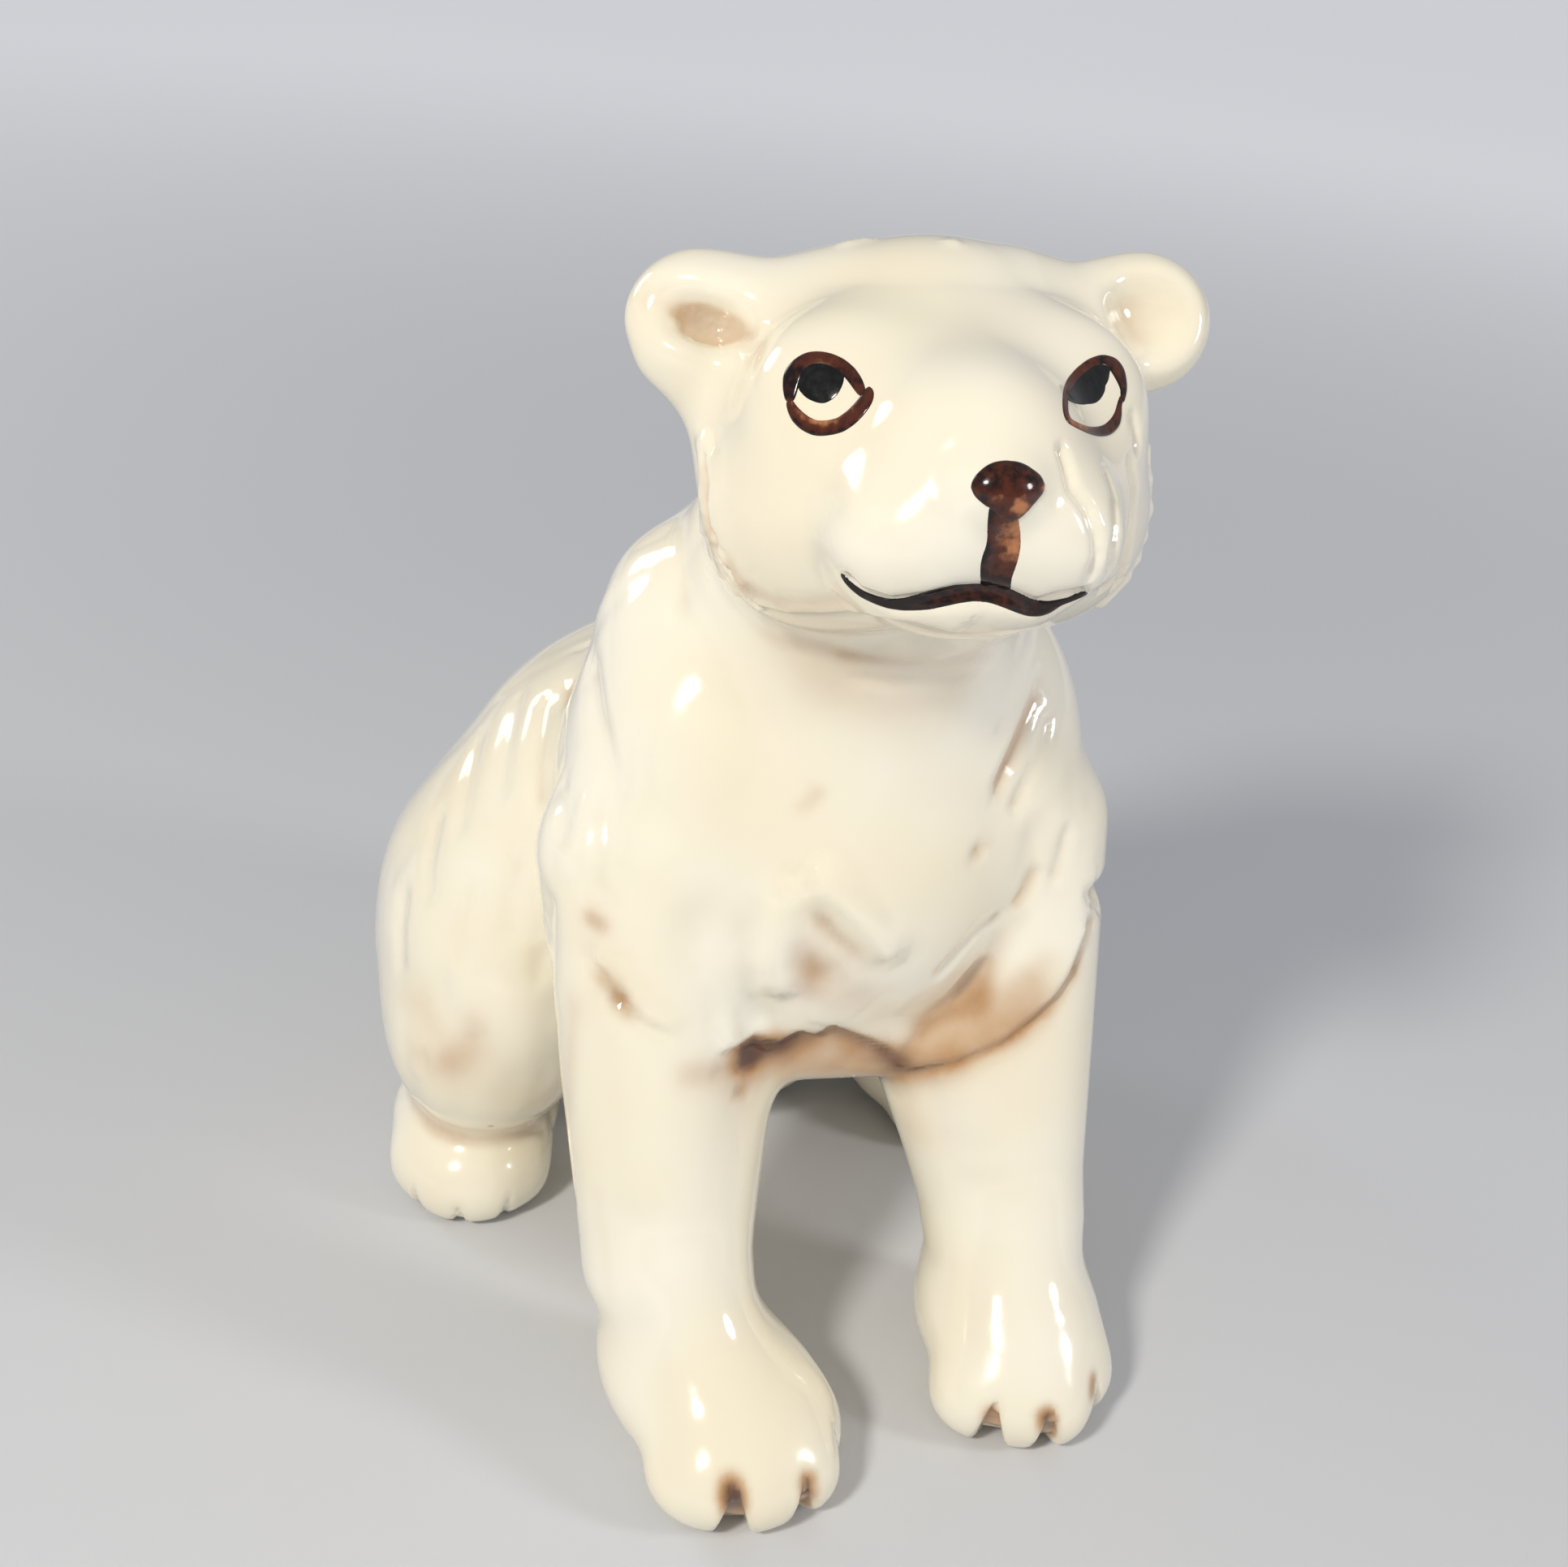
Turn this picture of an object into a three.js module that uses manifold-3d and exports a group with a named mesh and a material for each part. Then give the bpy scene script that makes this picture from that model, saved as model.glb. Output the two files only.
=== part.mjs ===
// A sitting polar bear cub: a glazed, slip-cast porcelain figurine with painted eyes, nose and mouth.
// Millimetres, +Z up. The cub faces -Y, with its head turned a little to its right, which is -X.
// It stands on z = 0, and the origin lies under the middle of its outline.
//
// The figurine is nine castings, stuck together with joining slip along flat cuts and then glazed,
// with seven patches of enamel on the face. One smooth form describes the whole outside of the clay,
// so the castings that are cut from it meet flush.
import * as THREE from "three";
import { mergeVertices } from "three/addons/utils/BufferGeometryUtils.js";
import Module from "manifold-3d";

const wasm = await Module();
wasm.setup();

// Casting and joining.
const wall = 3.0;
const slipThickness = 0.8;
const slipRecess = 0.5;
const seamGap = 0.1;
const ventRadius = 3.0;
const ventAhead = 4.5;

// Enamel, laid on the glaze.
const enamelLift = 0.3;
const enamelThickness = 0.4;

// How finely each stretch of clay is meshed.
const faceCell = 2.2;
const earCell = 1.5;
const pawCell = 2.6;
const trunkCell = 4.3;
const cavityCell = 4.8;
const seamCell = 3.6;

// The head: where its middle is, and how it is turned from facing straight ahead.
const headAt = [0, -23.3, 95.3];
const headPitch = 21.5;
const headYaw = -11.7;
const headRoll = 2.1;

// Head sizes, in the head's own frame: x to its left, -y out of the face, z up. The soft width of
// each form is how broadly it melts into the ones before it.
const skull = { at: [0, 3, 2.6], radii: [16.8, 16.5, 13.7] };
const crown = { at: [0, 1, 12.0], radii: [9.5, 8.0, 4.2], soft: 5 };
const bridge = { at: [0, -12.5, 0.8], radii: [6.5, 9.5, 5.2], soft: 7 };
const jowl = { at: [8.6, -0.5, -5], radii: [9.5, 11.5, 9.4], soft: 6 };
const muzzle = { at: [0, -12, -5.4], radii: [10.2, 11.5, 7.4], soft: 9 };
const lipPad = { at: [5.0, -17.2, -7.6], radii: [5.8, 5.8, 5.0], soft: 3 };
const chin = { at: [0, -14.5, -11.6], radii: [6.5, 5.6, 3.4], soft: 2.5 };
const eyeMound = { at: [9.6, -9.0, 3.8], radii: [5.0, 4.0, 5.0], soft: 6 };
const nose = { at: [0, -23.2, -4.2], radii: [3.0, 2.4, 2.4], soft: 2 };

// Ears: a thick disc on a root, with a slanting hollow pressed into its front.
const ear = { at: [18.3, 1.2, 10.2], radii: [5.8, 3.2, 5.8], soft: 3 };
const earRoot = { at: [8.5, 1.2, 9.8], radius: 6.4, tipRadius: 4.6, soft: 3 };
const earHollow = { radii: [4.6, 2.6, 2.1], ahead: 3.0, tilt: 21, soft: 1 };
const earSeam = { inwards: 3.5, below: 0.8, tilt: 56, width: [20, 24], reach: 16 };

// Neck and trunk.
const neck = { from: [0, 0, 60], fromRadius: 20.5, behindHead: 8.3, belowHead: 9.3, toRadius: 14.8 };
const headSoft = 3;
const chest = { at: [0, -6.5, 56], radii: [21.5, 20, 20], soft: 9 };
const back = { at: [0, 17, 42.5], radii: [27, 25, 24.5], soft: 12 };
const rump = { at: [0, 26.5, 21.5], radii: [25.5, 19.5, 24], soft: 8 };
const shoulder = { at: [17.4, -9.5, 55], radii: [9.0, 12, 15.5], soft: 6 };
const thigh = { at: [25.4, 19, 26.6], radii: [12.6, 19.5, 20.6], soft: 6 };
const tail = { at: [0, 46.5, 11], radii: [4.6, 5.6, 5.4], soft: 2.5 };
const neckSeam = { height: 79, width: [90, 90], reach: 60 };
const tailSeam = { ahead: 0.9, above: 0.5, tilt: 24, width: [20, 20], reach: 14 };

// Forelegs: a bone from shoulder to wrist, a web to the chest behind it, and a paw in front of it.
const forelegTop = { at: [18.5, -13, 54], radius: 10.1 };
const wrist = { at: [16.8, -24.5, 17], radius: 8.3 };
const web = { from: [9.5, -13, 41], to: [14.5, -18, 31], fromRadius: 7.5, toRadius: 5, soft: 4 };
const forelegSoft = 2;
const forelegSeam = { down: 24, middle: [-1.5, 5], width: [28, 38], pastGround: 8 };

// Paws. Ahead and inwards are measured from the wrist, and a paw sinks a little into the ground
// plane, so that its sole is flat. The two forepaws are turned and set differently.
const pawSink = 0.4;
const forepawSoft = 7;
const forepaws = {
  left: { inwards: 1.2, ahead: 6.5, radii: [10.4, 10.8, 7.2], turn: -2 },
  right: { inwards: 2.7, ahead: 8.9, radii: [11.2, 11.4, 7.4], turn: -8 },
};
const hindpaw = { at: [28.6, 15.0], radii: [10.2, 13.5, 6.4], turn: 4, soft: 2.5 };
const hindpawSeam = { ahead: 7.4, above: 1.6, tilt: 45, width: [30, 22], reach: 14 };
const toe = { radii: [3.7, 5.2, 4.1], count: 4, spread: 27, inset: 3.6, soft: 1.6 };

// Painted face, in the head's frame as seen from the front: x to its left and z up.
const eye = { at: [10.5, 2.9], halfWidth: 3.3, halfHeight: 3.2, tilt: 8, stroke: 1.0 };
const pupil = { at: [10.2, 3.5], halfWidth: 1.5, halfHeight: 1.5 };
const nosePaint = { at: [0, -4.2], halfWidth: 2.7, halfHeight: 2.2 };
const philtrum = { top: -6.8, bottom: -10.5, halfWidth: 1.1 };
const mouth = { corner: [9.5, -11.0], dip: [5.2, -12.5], middle: -11.5, halfWidth: 0.6 };
const paintReach = { from: 5, to: 34 };

const { degToRad } = THREE.MathUtils;

// Places and turns.
function frameAt(at, xTurn = 0, yTurn = 0, zTurn = 0) {
  const turn = new THREE.Euler(degToRad(xTurn), degToRad(yTurn), degToRad(zTurn), "ZXY");
  return new THREE.Matrix4().makeRotationFromEuler(turn).setPosition(...at);
}

// A frame whose z points along a direction.
function frameAlong(at, direction) {
  const turn = new THREE.Quaternion().setFromUnitVectors(new THREE.Vector3(0, 0, 1), direction);
  return new THREE.Matrix4().makeRotationFromQuaternion(turn).setPosition(at);
}

const mirror = new THREE.Matrix4().makeScale(-1, 1, 1);
const headFrame = frameAt(headAt, -headPitch, -headRoll, headYaw);

// Forms. Each has a depth, which is below zero inside the clay and rises outwards, close to a
// distance, and a box that it lies in.
function ball({ at, radii }) {
  const [cx, cy, cz] = at;
  const [rx, ry, rz] = radii;
  const depth = (x, y, z) => {
    const dx = (x - cx) / rx;
    const dy = (y - cy) / ry;
    const dz = (z - cz) / rz;
    const reach = Math.hypot(dx, dy, dz);
    const slope = Math.hypot(dx / rx, dy / ry, dz / rz);
    return slope < 1e-9 ? -Math.min(rx, ry, rz) : (reach * (reach - 1)) / slope;
  };
  const middle = new THREE.Vector3(...at);
  const corner = new THREE.Vector3(...radii);
  return { depth, box: new THREE.Box3(middle.clone().sub(corner), middle.clone().add(corner)) };
}

function limb({ from, to, fromRadius, toRadius }) {
  const along = to.map((v, i) => v - from[i]);
  const square = along.reduce((sum, v) => sum + v * v, 0);
  const depth = (x, y, z) => {
    const px = x - from[0];
    const py = y - from[1];
    const pz = z - from[2];
    const share = (px * along[0] + py * along[1] + pz * along[2]) / square;
    const t = THREE.MathUtils.clamp(share, 0, 1);
    const off = Math.hypot(px - along[0] * t, py - along[1] * t, pz - along[2] * t);
    return off - THREE.MathUtils.lerp(fromRadius, toRadius, t);
  };
  const ends = [new THREE.Vector3(...from), new THREE.Vector3(...to)];
  return { depth, box: new THREE.Box3().setFromPoints(ends).expandByScalar(Math.max(fromRadius, toRadius)) };
}

function softLower(a, b, soft) {
  const share = Math.max(soft - Math.abs(a - b), 0) / soft;
  return Math.min(a, b) - (share * share * soft) / 4;
}

// Melts each further form into the ones before it, over its own soft width.
function melt(first, ...rest) {
  const box = first.box.clone();
  for (const [form, soft] of rest) box.union(form.box.clone().expandByScalar(soft / 4));
  const depth = (x, y, z) => {
    let d = first.depth(x, y, z);
    for (const [form, soft] of rest) d = softLower(d, form.depth(x, y, z), soft);
    return d;
  };
  return { depth, box };
}

function pressIn(form, tool, soft) {
  const depth = (x, y, z) => -softLower(-form.depth(x, y, z), tool.depth(x, y, z), soft);
  return { depth, box: form.box };
}

function within(frame, form) {
  const m = frame.clone().invert().elements;
  const depth = (x, y, z) =>
    form.depth(
      m[0] * x + m[4] * y + m[8] * z + m[12],
      m[1] * x + m[5] * y + m[9] * z + m[13],
      m[2] * x + m[6] * y + m[10] * z + m[14],
    );
  return { depth, box: form.box.clone().applyMatrix4(frame) };
}

function bothSides(form) {
  const box = form.box.clone().union(form.box.clone().applyMatrix4(mirror));
  return { depth: (x, y, z) => form.depth(Math.abs(x), y, z), box };
}

function swollen(form, by) {
  return { depth: (x, y, z) => form.depth(x, y, z) - by, box: form.box.clone().expandByScalar(by) };
}

function standing(form) {
  const box = form.box.clone();
  box.min.z = 0;
  return { depth: (x, y, z) => Math.max(form.depth(x, y, z), -z), box };
}

// The parts of the form, from the head down.
function earForm() {
  const root = { from: earRoot.at, to: ear.at, fromRadius: earRoot.radius, toRadius: earRoot.tipRadius };
  const hollowFrame = frameAt([ear.at[0], ear.at[1] - earHollow.ahead, ear.at[2]], 0, earHollow.tilt);
  const hollow = within(hollowFrame, ball({ at: [0, 0, 0], radii: earHollow.radii }));
  return pressIn(melt(ball(ear), [limb(root), earRoot.soft]), hollow, earHollow.soft);
}

function headForm() {
  const lumps = [crown, bridge, jowl, muzzle, lipPad, chin, eyeMound, nose];
  const face = melt(ball(skull), ...lumps.map((lump) => [ball(lump), lump.soft]), [earForm(), ear.soft]);
  return within(headFrame, bothSides(face));
}

// A paw with its toes fanned round the front of the sole.
function pawForm({ at, radii, turn }) {
  const [rx, ry, rz] = radii;
  const middle = [at[0], at[1], rz - pawSink];
  const toes = Array.from({ length: toe.count }, (_, i) => {
    const angle = (i - (toe.count - 1) / 2) * toe.spread;
    const x = Math.sin(degToRad(angle)) * (rx - toe.inset);
    const y = -Math.cos(degToRad(angle)) * (ry - toe.inset);
    const place = frameAt([x, y, toe.radii[2] - rz], 0, 0, angle);
    return [within(place, ball({ at: [0, 0, 0], radii: toe.radii })), toe.soft];
  });
  const pad = ball({ at: [0, 0, 0], radii: [rx - toe.inset / 3, ry - toe.inset / 2, rz] });
  return within(frameAt(middle, 0, 0, turn), melt(pad, ...toes));
}

function forelegForm(paw) {
  const bone = {
    from: forelegTop.at,
    to: wrist.at,
    fromRadius: forelegTop.radius,
    toRadius: wrist.radius,
  };
  const at = [wrist.at[0] - paw.inwards, wrist.at[1] - paw.ahead];
  return melt(limb(bone), [pawForm({ ...paw, at }), forepawSoft]);
}

function trunkForm() {
  const to = [headAt[0], headAt[1] + neck.behindHead, headAt[2] - neck.belowHead];
  const pairs = [shoulder, thigh];
  return melt(
    limb({ ...neck, to }),
    ...[chest, back, rump].map((lump) => [ball(lump), lump.soft]),
    ...pairs.map((lump) => [bothSides(ball(lump)), lump.soft]),
    [bothSides(limb(web)), web.soft],
    [bothSides(pawForm(hindpaw)), hindpaw.soft],
    [ball(tail), tail.soft],
  );
}

// The whole outside of the clay, before it is rubbed flat where it stands, and the hollow that
// draining leaves inside.
const clay = melt(
  trunkForm(),
  [forelegForm(forepaws.left), forelegSoft],
  [within(mirror, forelegForm(forepaws.right)), forelegSoft],
  [headForm(), headSoft],
);
const cavity = swollen(standing(clay), -wall);

function solidOf(vertProperties, triVerts) {
  return new wasm.Manifold(new wasm.Mesh({ numProp: 3, vertProperties, triVerts }));
}

// A three.js geometry, placed by a frame, as a solid.
function solid(geometry, frame) {
  const bare = geometry.clone().applyMatrix4(frame);
  bare.deleteAttribute("normal");
  bare.deleteAttribute("uv");
  const merged = mergeVertices(bare, 1e-4);
  return solidOf(new Float32Array(merged.attributes.position.array), new Uint32Array(merged.index.array));
}

// Moves a point onto a form's surface, if that is near, and then outwards by a lift.
function settle(form, point, cell, lift) {
  const step = cell / 100;
  const { x, y, z } = point;
  const here = form.depth(x, y, z);
  const slope = new THREE.Vector3(
    form.depth(x + step, y, z) - form.depth(x - step, y, z),
    form.depth(x, y + step, z) - form.depth(x, y - step, z),
    form.depth(x, y, z + step) - form.depth(x, y, z - step),
  ).divideScalar(2 * step);
  const steepness = slope.lengthSq();
  const near = Math.abs(here) < cell && steepness > 0.2;
  return near ? point.addScaledVector(slope, lift / Math.sqrt(steepness) - here / steepness) : point;
}

const axes = [[1, 0, 0], [0, 1, 0], [0, 0, 1]];

// A grid over a form's box, within a region, with the form's depth at each grid point. The outermost
// grid points count as outside, so a skin over the grid is closed.
function sample(form, cell, region) {
  const box = form.box.clone().expandByScalar(cell);
  if (region) box.intersect(region);
  const low = box.min.toArray();
  const count = box.max.toArray().map((v, axis) => Math.ceil((v - low[axis]) / cell) + 3);
  const index = (i, j, k) => i + count[0] * (j + count[1] * k);
  const depth = new Float32Array(count[0] * count[1] * count[2]);
  for (let k = 0; k < count[2]; k++)
    for (let j = 0; j < count[1]; j++)
      for (let i = 0; i < count[0]; i++) {
        const node = [i, j, k];
        const [x, y, z] = node.map((v, axis) => low[axis] + (v - 1) * cell);
        const rim = node.some((v, axis) => v === 0 || v === count[axis] - 1);
        depth[index(i, j, k)] = rim ? cell : form.depth(x, y, z);
      }
  return clearPinches({ low, count, index, depth }, cell);
}

// The eight corners of a grid cell, numbered by bits, and the twelve edges between them.
const corners = Array.from({ length: 8 }, (_, n) => [n & 1, (n >> 1) & 1, n >> 2]);
const edgeEnds = corners.flatMap((_, n) => [1, 2, 4].filter((bit) => !(n & bit)).map((bit) => [n, n | bit]));
const cellEdges = edgeEnds.map(([a, b]) => [corners[a], corners[b]]);

// Whether the corners in a set, written as bits, hang together along the cell's edges.
function joined(set) {
  let reached = set & -set;
  for (let n = 0; n < corners.length; n++)
    for (const [a, b] of edgeEnds) {
      const linked = (reached >> a) & 1 || (reached >> b) & 1;
      if (linked) reached |= set & ((1 << a) | (1 << b));
    }
  return reached === set;
}

const everyCorner = (1 << corners.length) - 1;
const pinched = Array.from({ length: everyCorner + 1 }, (_, set) => !joined(set) || !joined(everyCorner - set));

// Where clay or air would only just touch itself inside a grid cell, the shallowest corner of clay is
// taken away, so that a skin never pinches.
function clearPinches(grid, cell) {
  const { count, index, depth } = grid;
  let found = true;
  while (found) {
    found = false;
    for (let k = 0; k < count[2] - 1; k++)
      for (let j = 0; j < count[1] - 1; j++)
        for (let i = 0; i < count[0] - 1; i++) {
          const nodes = corners.map(([p, q, r]) => index(i + p, j + q, k + r));
          const set = nodes.reduce((bits, node, n) => bits | (depth[node] < 0 ? 1 << n : 0), 0);
          if (!pinched[set]) continue;
          const clayNodes = nodes.filter((node) => depth[node] < 0);
          const shallowest = clayNodes.reduce((a, b) => (depth[a] > depth[b] ? a : b));
          depth[shallowest] = cell / 10;
          found = true;
        }
  }
  return grid;
}

// Where a form's surface crosses one grid cell, or nothing where it doesn't.
function crossing(grid, cell, i, j, k) {
  const sum = new THREE.Vector3();
  let found = 0;
  for (const [a, b] of cellEdges) {
    const from = grid.depth[grid.index(i + a[0], j + a[1], k + a[2])];
    const to = grid.depth[grid.index(i + b[0], j + b[1], k + b[2])];
    if (from < 0 === to < 0) continue;
    const share = from / (from - to);
    sum.add(new THREE.Vector3(...a.map((v, axis) => v + (b[axis] - v) * share)));
    found++;
  }
  if (!found) return null;
  const place = sum.divideScalar(found).add(new THREE.Vector3(i - 1, j - 1, k - 1));
  return place.multiplyScalar(cell).add(new THREE.Vector3(...grid.low));
}

// A closed skin over a form, or that skin lifted: one point in every grid cell that the surface
// crosses, and two triangles round every grid edge that it crosses.
function skin(form, cell, region, lift = 0) {
  const grid = sample(form, cell, region);
  const points = [];
  const pointOf = new Map();
  const faces = [];
  for (let k = 0; k < grid.count[2] - 1; k++)
    for (let j = 0; j < grid.count[1] - 1; j++)
      for (let i = 0; i < grid.count[0] - 1; i++) {
        const place = crossing(grid, cell, i, j, k);
        if (!place) continue;
        pointOf.set(grid.index(i, j, k), points.length);
        points.push(settle(form, place, cell, lift));
        axes.forEach((step, axis) => {
          const inside = grid.depth[grid.index(i, j, k)] < 0;
          const beyond = grid.depth[grid.index(i + step[0], j + step[1], k + step[2])] < 0;
          if (inside === beyond) return;
          const u = axes[(axis + 1) % 3];
          const v = axes[(axis + 2) % 3];
          const ring = [[1, 1], [0, 1], [0, 0], [1, 0]].map(([p, q]) =>
            pointOf.get(grid.index(i - p * u[0] - q * v[0], j - p * u[1] - q * v[1], k - p * u[2] - q * v[2])),
          );
          const [a, b, c, d] = inside ? ring : ring.reverse();
          const shortFirst = points[a].distanceTo(points[c]) < points[b].distanceTo(points[d]);
          faces.push(...(shortFirst ? [a, b, c, a, c, d] : [b, c, d, b, d, a]));
        });
      }
  return solidOf(new Float32Array(points.flatMap((p) => p.toArray())), new Uint32Array(faces));
}

// Seams. Each is a flat cut across the clay in a frame whose z points at the smaller casting, with the
// width of the cut and how far the smaller casting reaches beyond it.
const legAxis = new THREE.Vector3(...wrist.at).sub(new THREE.Vector3(...forelegTop.at)).normalize();
const legCut = new THREE.Vector3(...forelegTop.at).addScaledVector(legAxis, forelegSeam.down);
const legReach = legCut.z / -legAxis.z + forelegSeam.pastGround;
const hindpawCut = [hindpaw.at[0], hindpaw.at[1] - hindpawSeam.ahead, hindpaw.radii[2] + hindpawSeam.above];
const tailCut = [tail.at[0], tail.at[1] - tailSeam.ahead, tail.at[2] + tailSeam.above];
const earCut = [ear.at[0] - earSeam.inwards, ear.at[1], ear.at[2] - earSeam.below];
const inHead = (frame) => headFrame.clone().multiply(frame);

// A cut on the cub's left and its mirror image on the right.
function pairOfSeams(name, seam, frame, place = (local) => local) {
  const [across, along] = seam.middle ?? [0, 0];
  const other = mirror.clone().multiply(frame).multiply(mirror);
  return {
    [`left_${name}`]: { ...seam, frame: place(frame), middle: [across, along] },
    [`right_${name}`]: { ...seam, frame: place(other), middle: [-across, along] },
  };
}

const seams = {
  neck: { ...neckSeam, frame: frameAt([headAt[0], headAt[1] + neck.behindHead, neckSeam.height]) },
  ...pairOfSeams("ear", earSeam, frameAt(earCut, 0, earSeam.tilt), inHead),
  ...pairOfSeams("foreleg", { ...forelegSeam, reach: legReach }, frameAlong(legCut, legAxis)),
  ...pairOfSeams("hind_paw", hindpawSeam, frameAt(hindpawCut, 180 - hindpawSeam.tilt)),
  tail: { ...tailSeam, frame: frameAt(tailCut, -90 - tailSeam.tilt) },
};

// A block on the far side of a seam, from a shift off the cut to a given depth beyond that.
function block(seam, shift, depth = seam.reach) {
  const [across, along] = seam.middle ?? [0, 0];
  const [width, length] = seam.width;
  return new THREE.BoxGeometry(width, length, depth).translate(across, along, shift + depth / 2);
}

const beyond = (seam, shift) => solid(block(seam, shift), seam.frame);
const regionOf = (geometry, frame) =>
  new THREE.Box3().setFromBufferAttribute(geometry.attributes.position).applyMatrix4(frame);
const cutAway = (part, ...tools) => tools.reduce((left, tool) => left.subtract(tool), part);

// What is rubbed off below the surface that the figurine stands on.
const span = clay.box.getSize(new THREE.Vector3()).multiplyScalar(2);
const below = solid(new THREE.BoxGeometry(span.x, span.y, span.z), frameAt([0, 0, -span.z / 2]));

const materials = {
  glaze: { color: "#f4ecd8", roughness: 0.12, metalness: 0 },
  slip: { color: "#e9e2d2", roughness: 0.7, metalness: 0 },
  brown: { color: "#4a2413", roughness: 0.25, metalness: 0 },
  black: { color: "#14130f", roughness: 0.2, metalness: 0 },
};

const figurine = new THREE.Group();

function addPiece(name, finish, shape) {
  const { vertProperties, triVerts } = shape.getMesh();
  const geometry = new THREE.BufferGeometry();
  geometry.setAttribute("position", new THREE.BufferAttribute(new Float32Array(vertProperties), 3));
  geometry.setIndex(new THREE.BufferAttribute(new Uint32Array(triVerts), 1));
  geometry.computeVertexNormals();
  const piece = new THREE.Mesh(geometry, new THREE.MeshStandardMaterial(materials[finish]));
  piece.name = name;
  figurine.add(piece);
}

// Castings. Half the slip and its gap is taken off each side of every cut.
const half = slipThickness / 2 + seamGap;
const hollow = skin(cavity, cavityCell);
const ears = ["left_ear", "right_ear"];
const limbs = ["left_foreleg", "right_foreleg", "left_hind_paw", "right_hind_paw", "tail"];

const aboveNeck = regionOf(block(seams.neck, -trunkCell), seams.neck.frame);

function castHead() {
  const headClay = skin(clay, faceCell, aboveNeck);
  const cuts = ears.map((name) => beyond(seams[name], -half));
  addPiece("head_casting", "glaze", cutAway(headClay.intersect(beyond(seams.neck, half)), hollow, ...cuts));
}

function castEars() {
  for (const name of ears) {
    const clear = regionOf(block(seams[name], -earCell), seams[name].frame);
    addPiece(name, "glaze", skin(clay, earCell, clear).intersect(beyond(seams[name], half)));
  }
}

function castTorso() {
  const clear = clay.box.clone().expandByScalar(trunkCell);
  clear.max.z = neckSeam.height + trunkCell;
  const vent = new THREE.CylinderGeometry(ventRadius, ventRadius, wall * 4, 24).rotateX(Math.PI / 2);
  const ventPlace = frameAt([rump.at[0], rump.at[1] - ventAhead, wall]);
  const cuts = ["neck", ...limbs].map((name) => beyond(seams[name], -half));
  const torso = cutAway(skin(clay, trunkCell, clear), below, hollow, solid(vent, ventPlace), ...cuts);
  addPiece("torso_casting", "glaze", torso);
}

function castLimbs() {
  for (const name of limbs) {
    const seam = seams[name];
    const clear = regionOf(block(seam, -pawCell), seam.frame).expandByScalar(seamCell);
    const piece = skin(clay, pawCell, clear).intersect(beyond(seam, half)).subtract(below);
    const drained = name.endsWith("foreleg");
    addPiece(name, "glaze", drained ? piece.subtract(skin(cavity, seamCell, clear)) : piece);
  }
}

// Joining slip fills every seam, a little short of the outer surface.
function fillSeams() {
  const recessed = swollen(standing(clay), -slipRecess);
  for (const [name, seam] of Object.entries(seams)) {
    const layer = block(seam, -slipThickness / 2, slipThickness);
    const clear = regionOf(layer, seam.frame).expandByScalar(seamCell);
    const fill = skin(recessed, seamCell, clear).subtract(skin(cavity, seamCell, clear));
    addPiece(`${name}_slip`, "slip", fill.intersect(solid(layer, seam.frame)));
  }
}

// Enamel. Each patch is a flat outline, pushed out through the face and kept where it lies in a thin
// coat just off the glaze.
function coatOfEnamel() {
  const lifted = (lift) => skin(clay, faceCell, aboveNeck, lift);
  return lifted(enamelLift + enamelThickness).subtract(lifted(enamelLift));
}

function oval(at, halfWidth, halfHeight, tilt = 0) {
  return new THREE.Shape().absellipse(at[0], at[1], halfWidth, halfHeight, 0, Math.PI * 2, false, degToRad(tilt));
}

function ring({ at, halfWidth, halfHeight, tilt, stroke }, way) {
  const place = [at[0] * way, at[1]];
  const outline = oval(place, halfWidth, halfHeight, tilt * way);
  outline.holes.push(oval(place, halfWidth - stroke, halfHeight - stroke, tilt * way));
  return outline;
}

function mouthLine() {
  const { corner, dip, middle, halfWidth } = mouth;
  const left = [corner, dip].map(([x, z]) => new THREE.Vector2(x, z));
  const right = [dip, corner].map(([x, z]) => new THREE.Vector2(-x, z));
  const line = new THREE.SplineCurve([...left, new THREE.Vector2(0, middle), ...right]);
  const steps = Array.from({ length: 21 }, (_, n) => n / 20);
  const edge = (way) =>
    steps.map((t) => {
      const tangent = line.getTangent(t);
      const width = halfWidth * (0.5 + 0.5 * Math.sin(Math.PI * t)) * way;
      return line.getPoint(t).add(new THREE.Vector2(-tangent.y, tangent.x).multiplyScalar(width));
    });
  return new THREE.Shape([...edge(1), ...edge(-1).reverse()]);
}

function philtrumLine() {
  const { top, bottom, halfWidth } = philtrum;
  return oval([0, (top + bottom) / 2], halfWidth, (top - bottom) / 2);
}

function paint() {
  const coat = coatOfEnamel();
  const outwards = inHead(new THREE.Matrix4().makeRotationX(Math.PI / 2));
  const add = (name, finish, shape) => {
    const depth = paintReach.to - paintReach.from;
    const prism = new THREE.ExtrudeGeometry(shape, { depth, bevelEnabled: false, curveSegments: 8 });
    addPiece(name, finish, coat.intersect(solid(prism.translate(0, 0, paintReach.from), outwards)));
  };
  for (const [side, way] of [["left", 1], ["right", -1]]) {
    add(`${side}_eye_outline`, "brown", ring(eye, way));
    add(`${side}_pupil`, "black", oval([pupil.at[0] * way, pupil.at[1]], pupil.halfWidth, pupil.halfHeight));
  }
  add("nose_enamel", "brown", oval(nosePaint.at, nosePaint.halfWidth, nosePaint.halfHeight));
  add("philtrum_enamel", "brown", philtrumLine());
  add("mouth_enamel", "black", mouthLine());
}

castHead();
castEars();
castTorso();
castLimbs();
fillSeams();
paint();

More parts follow.
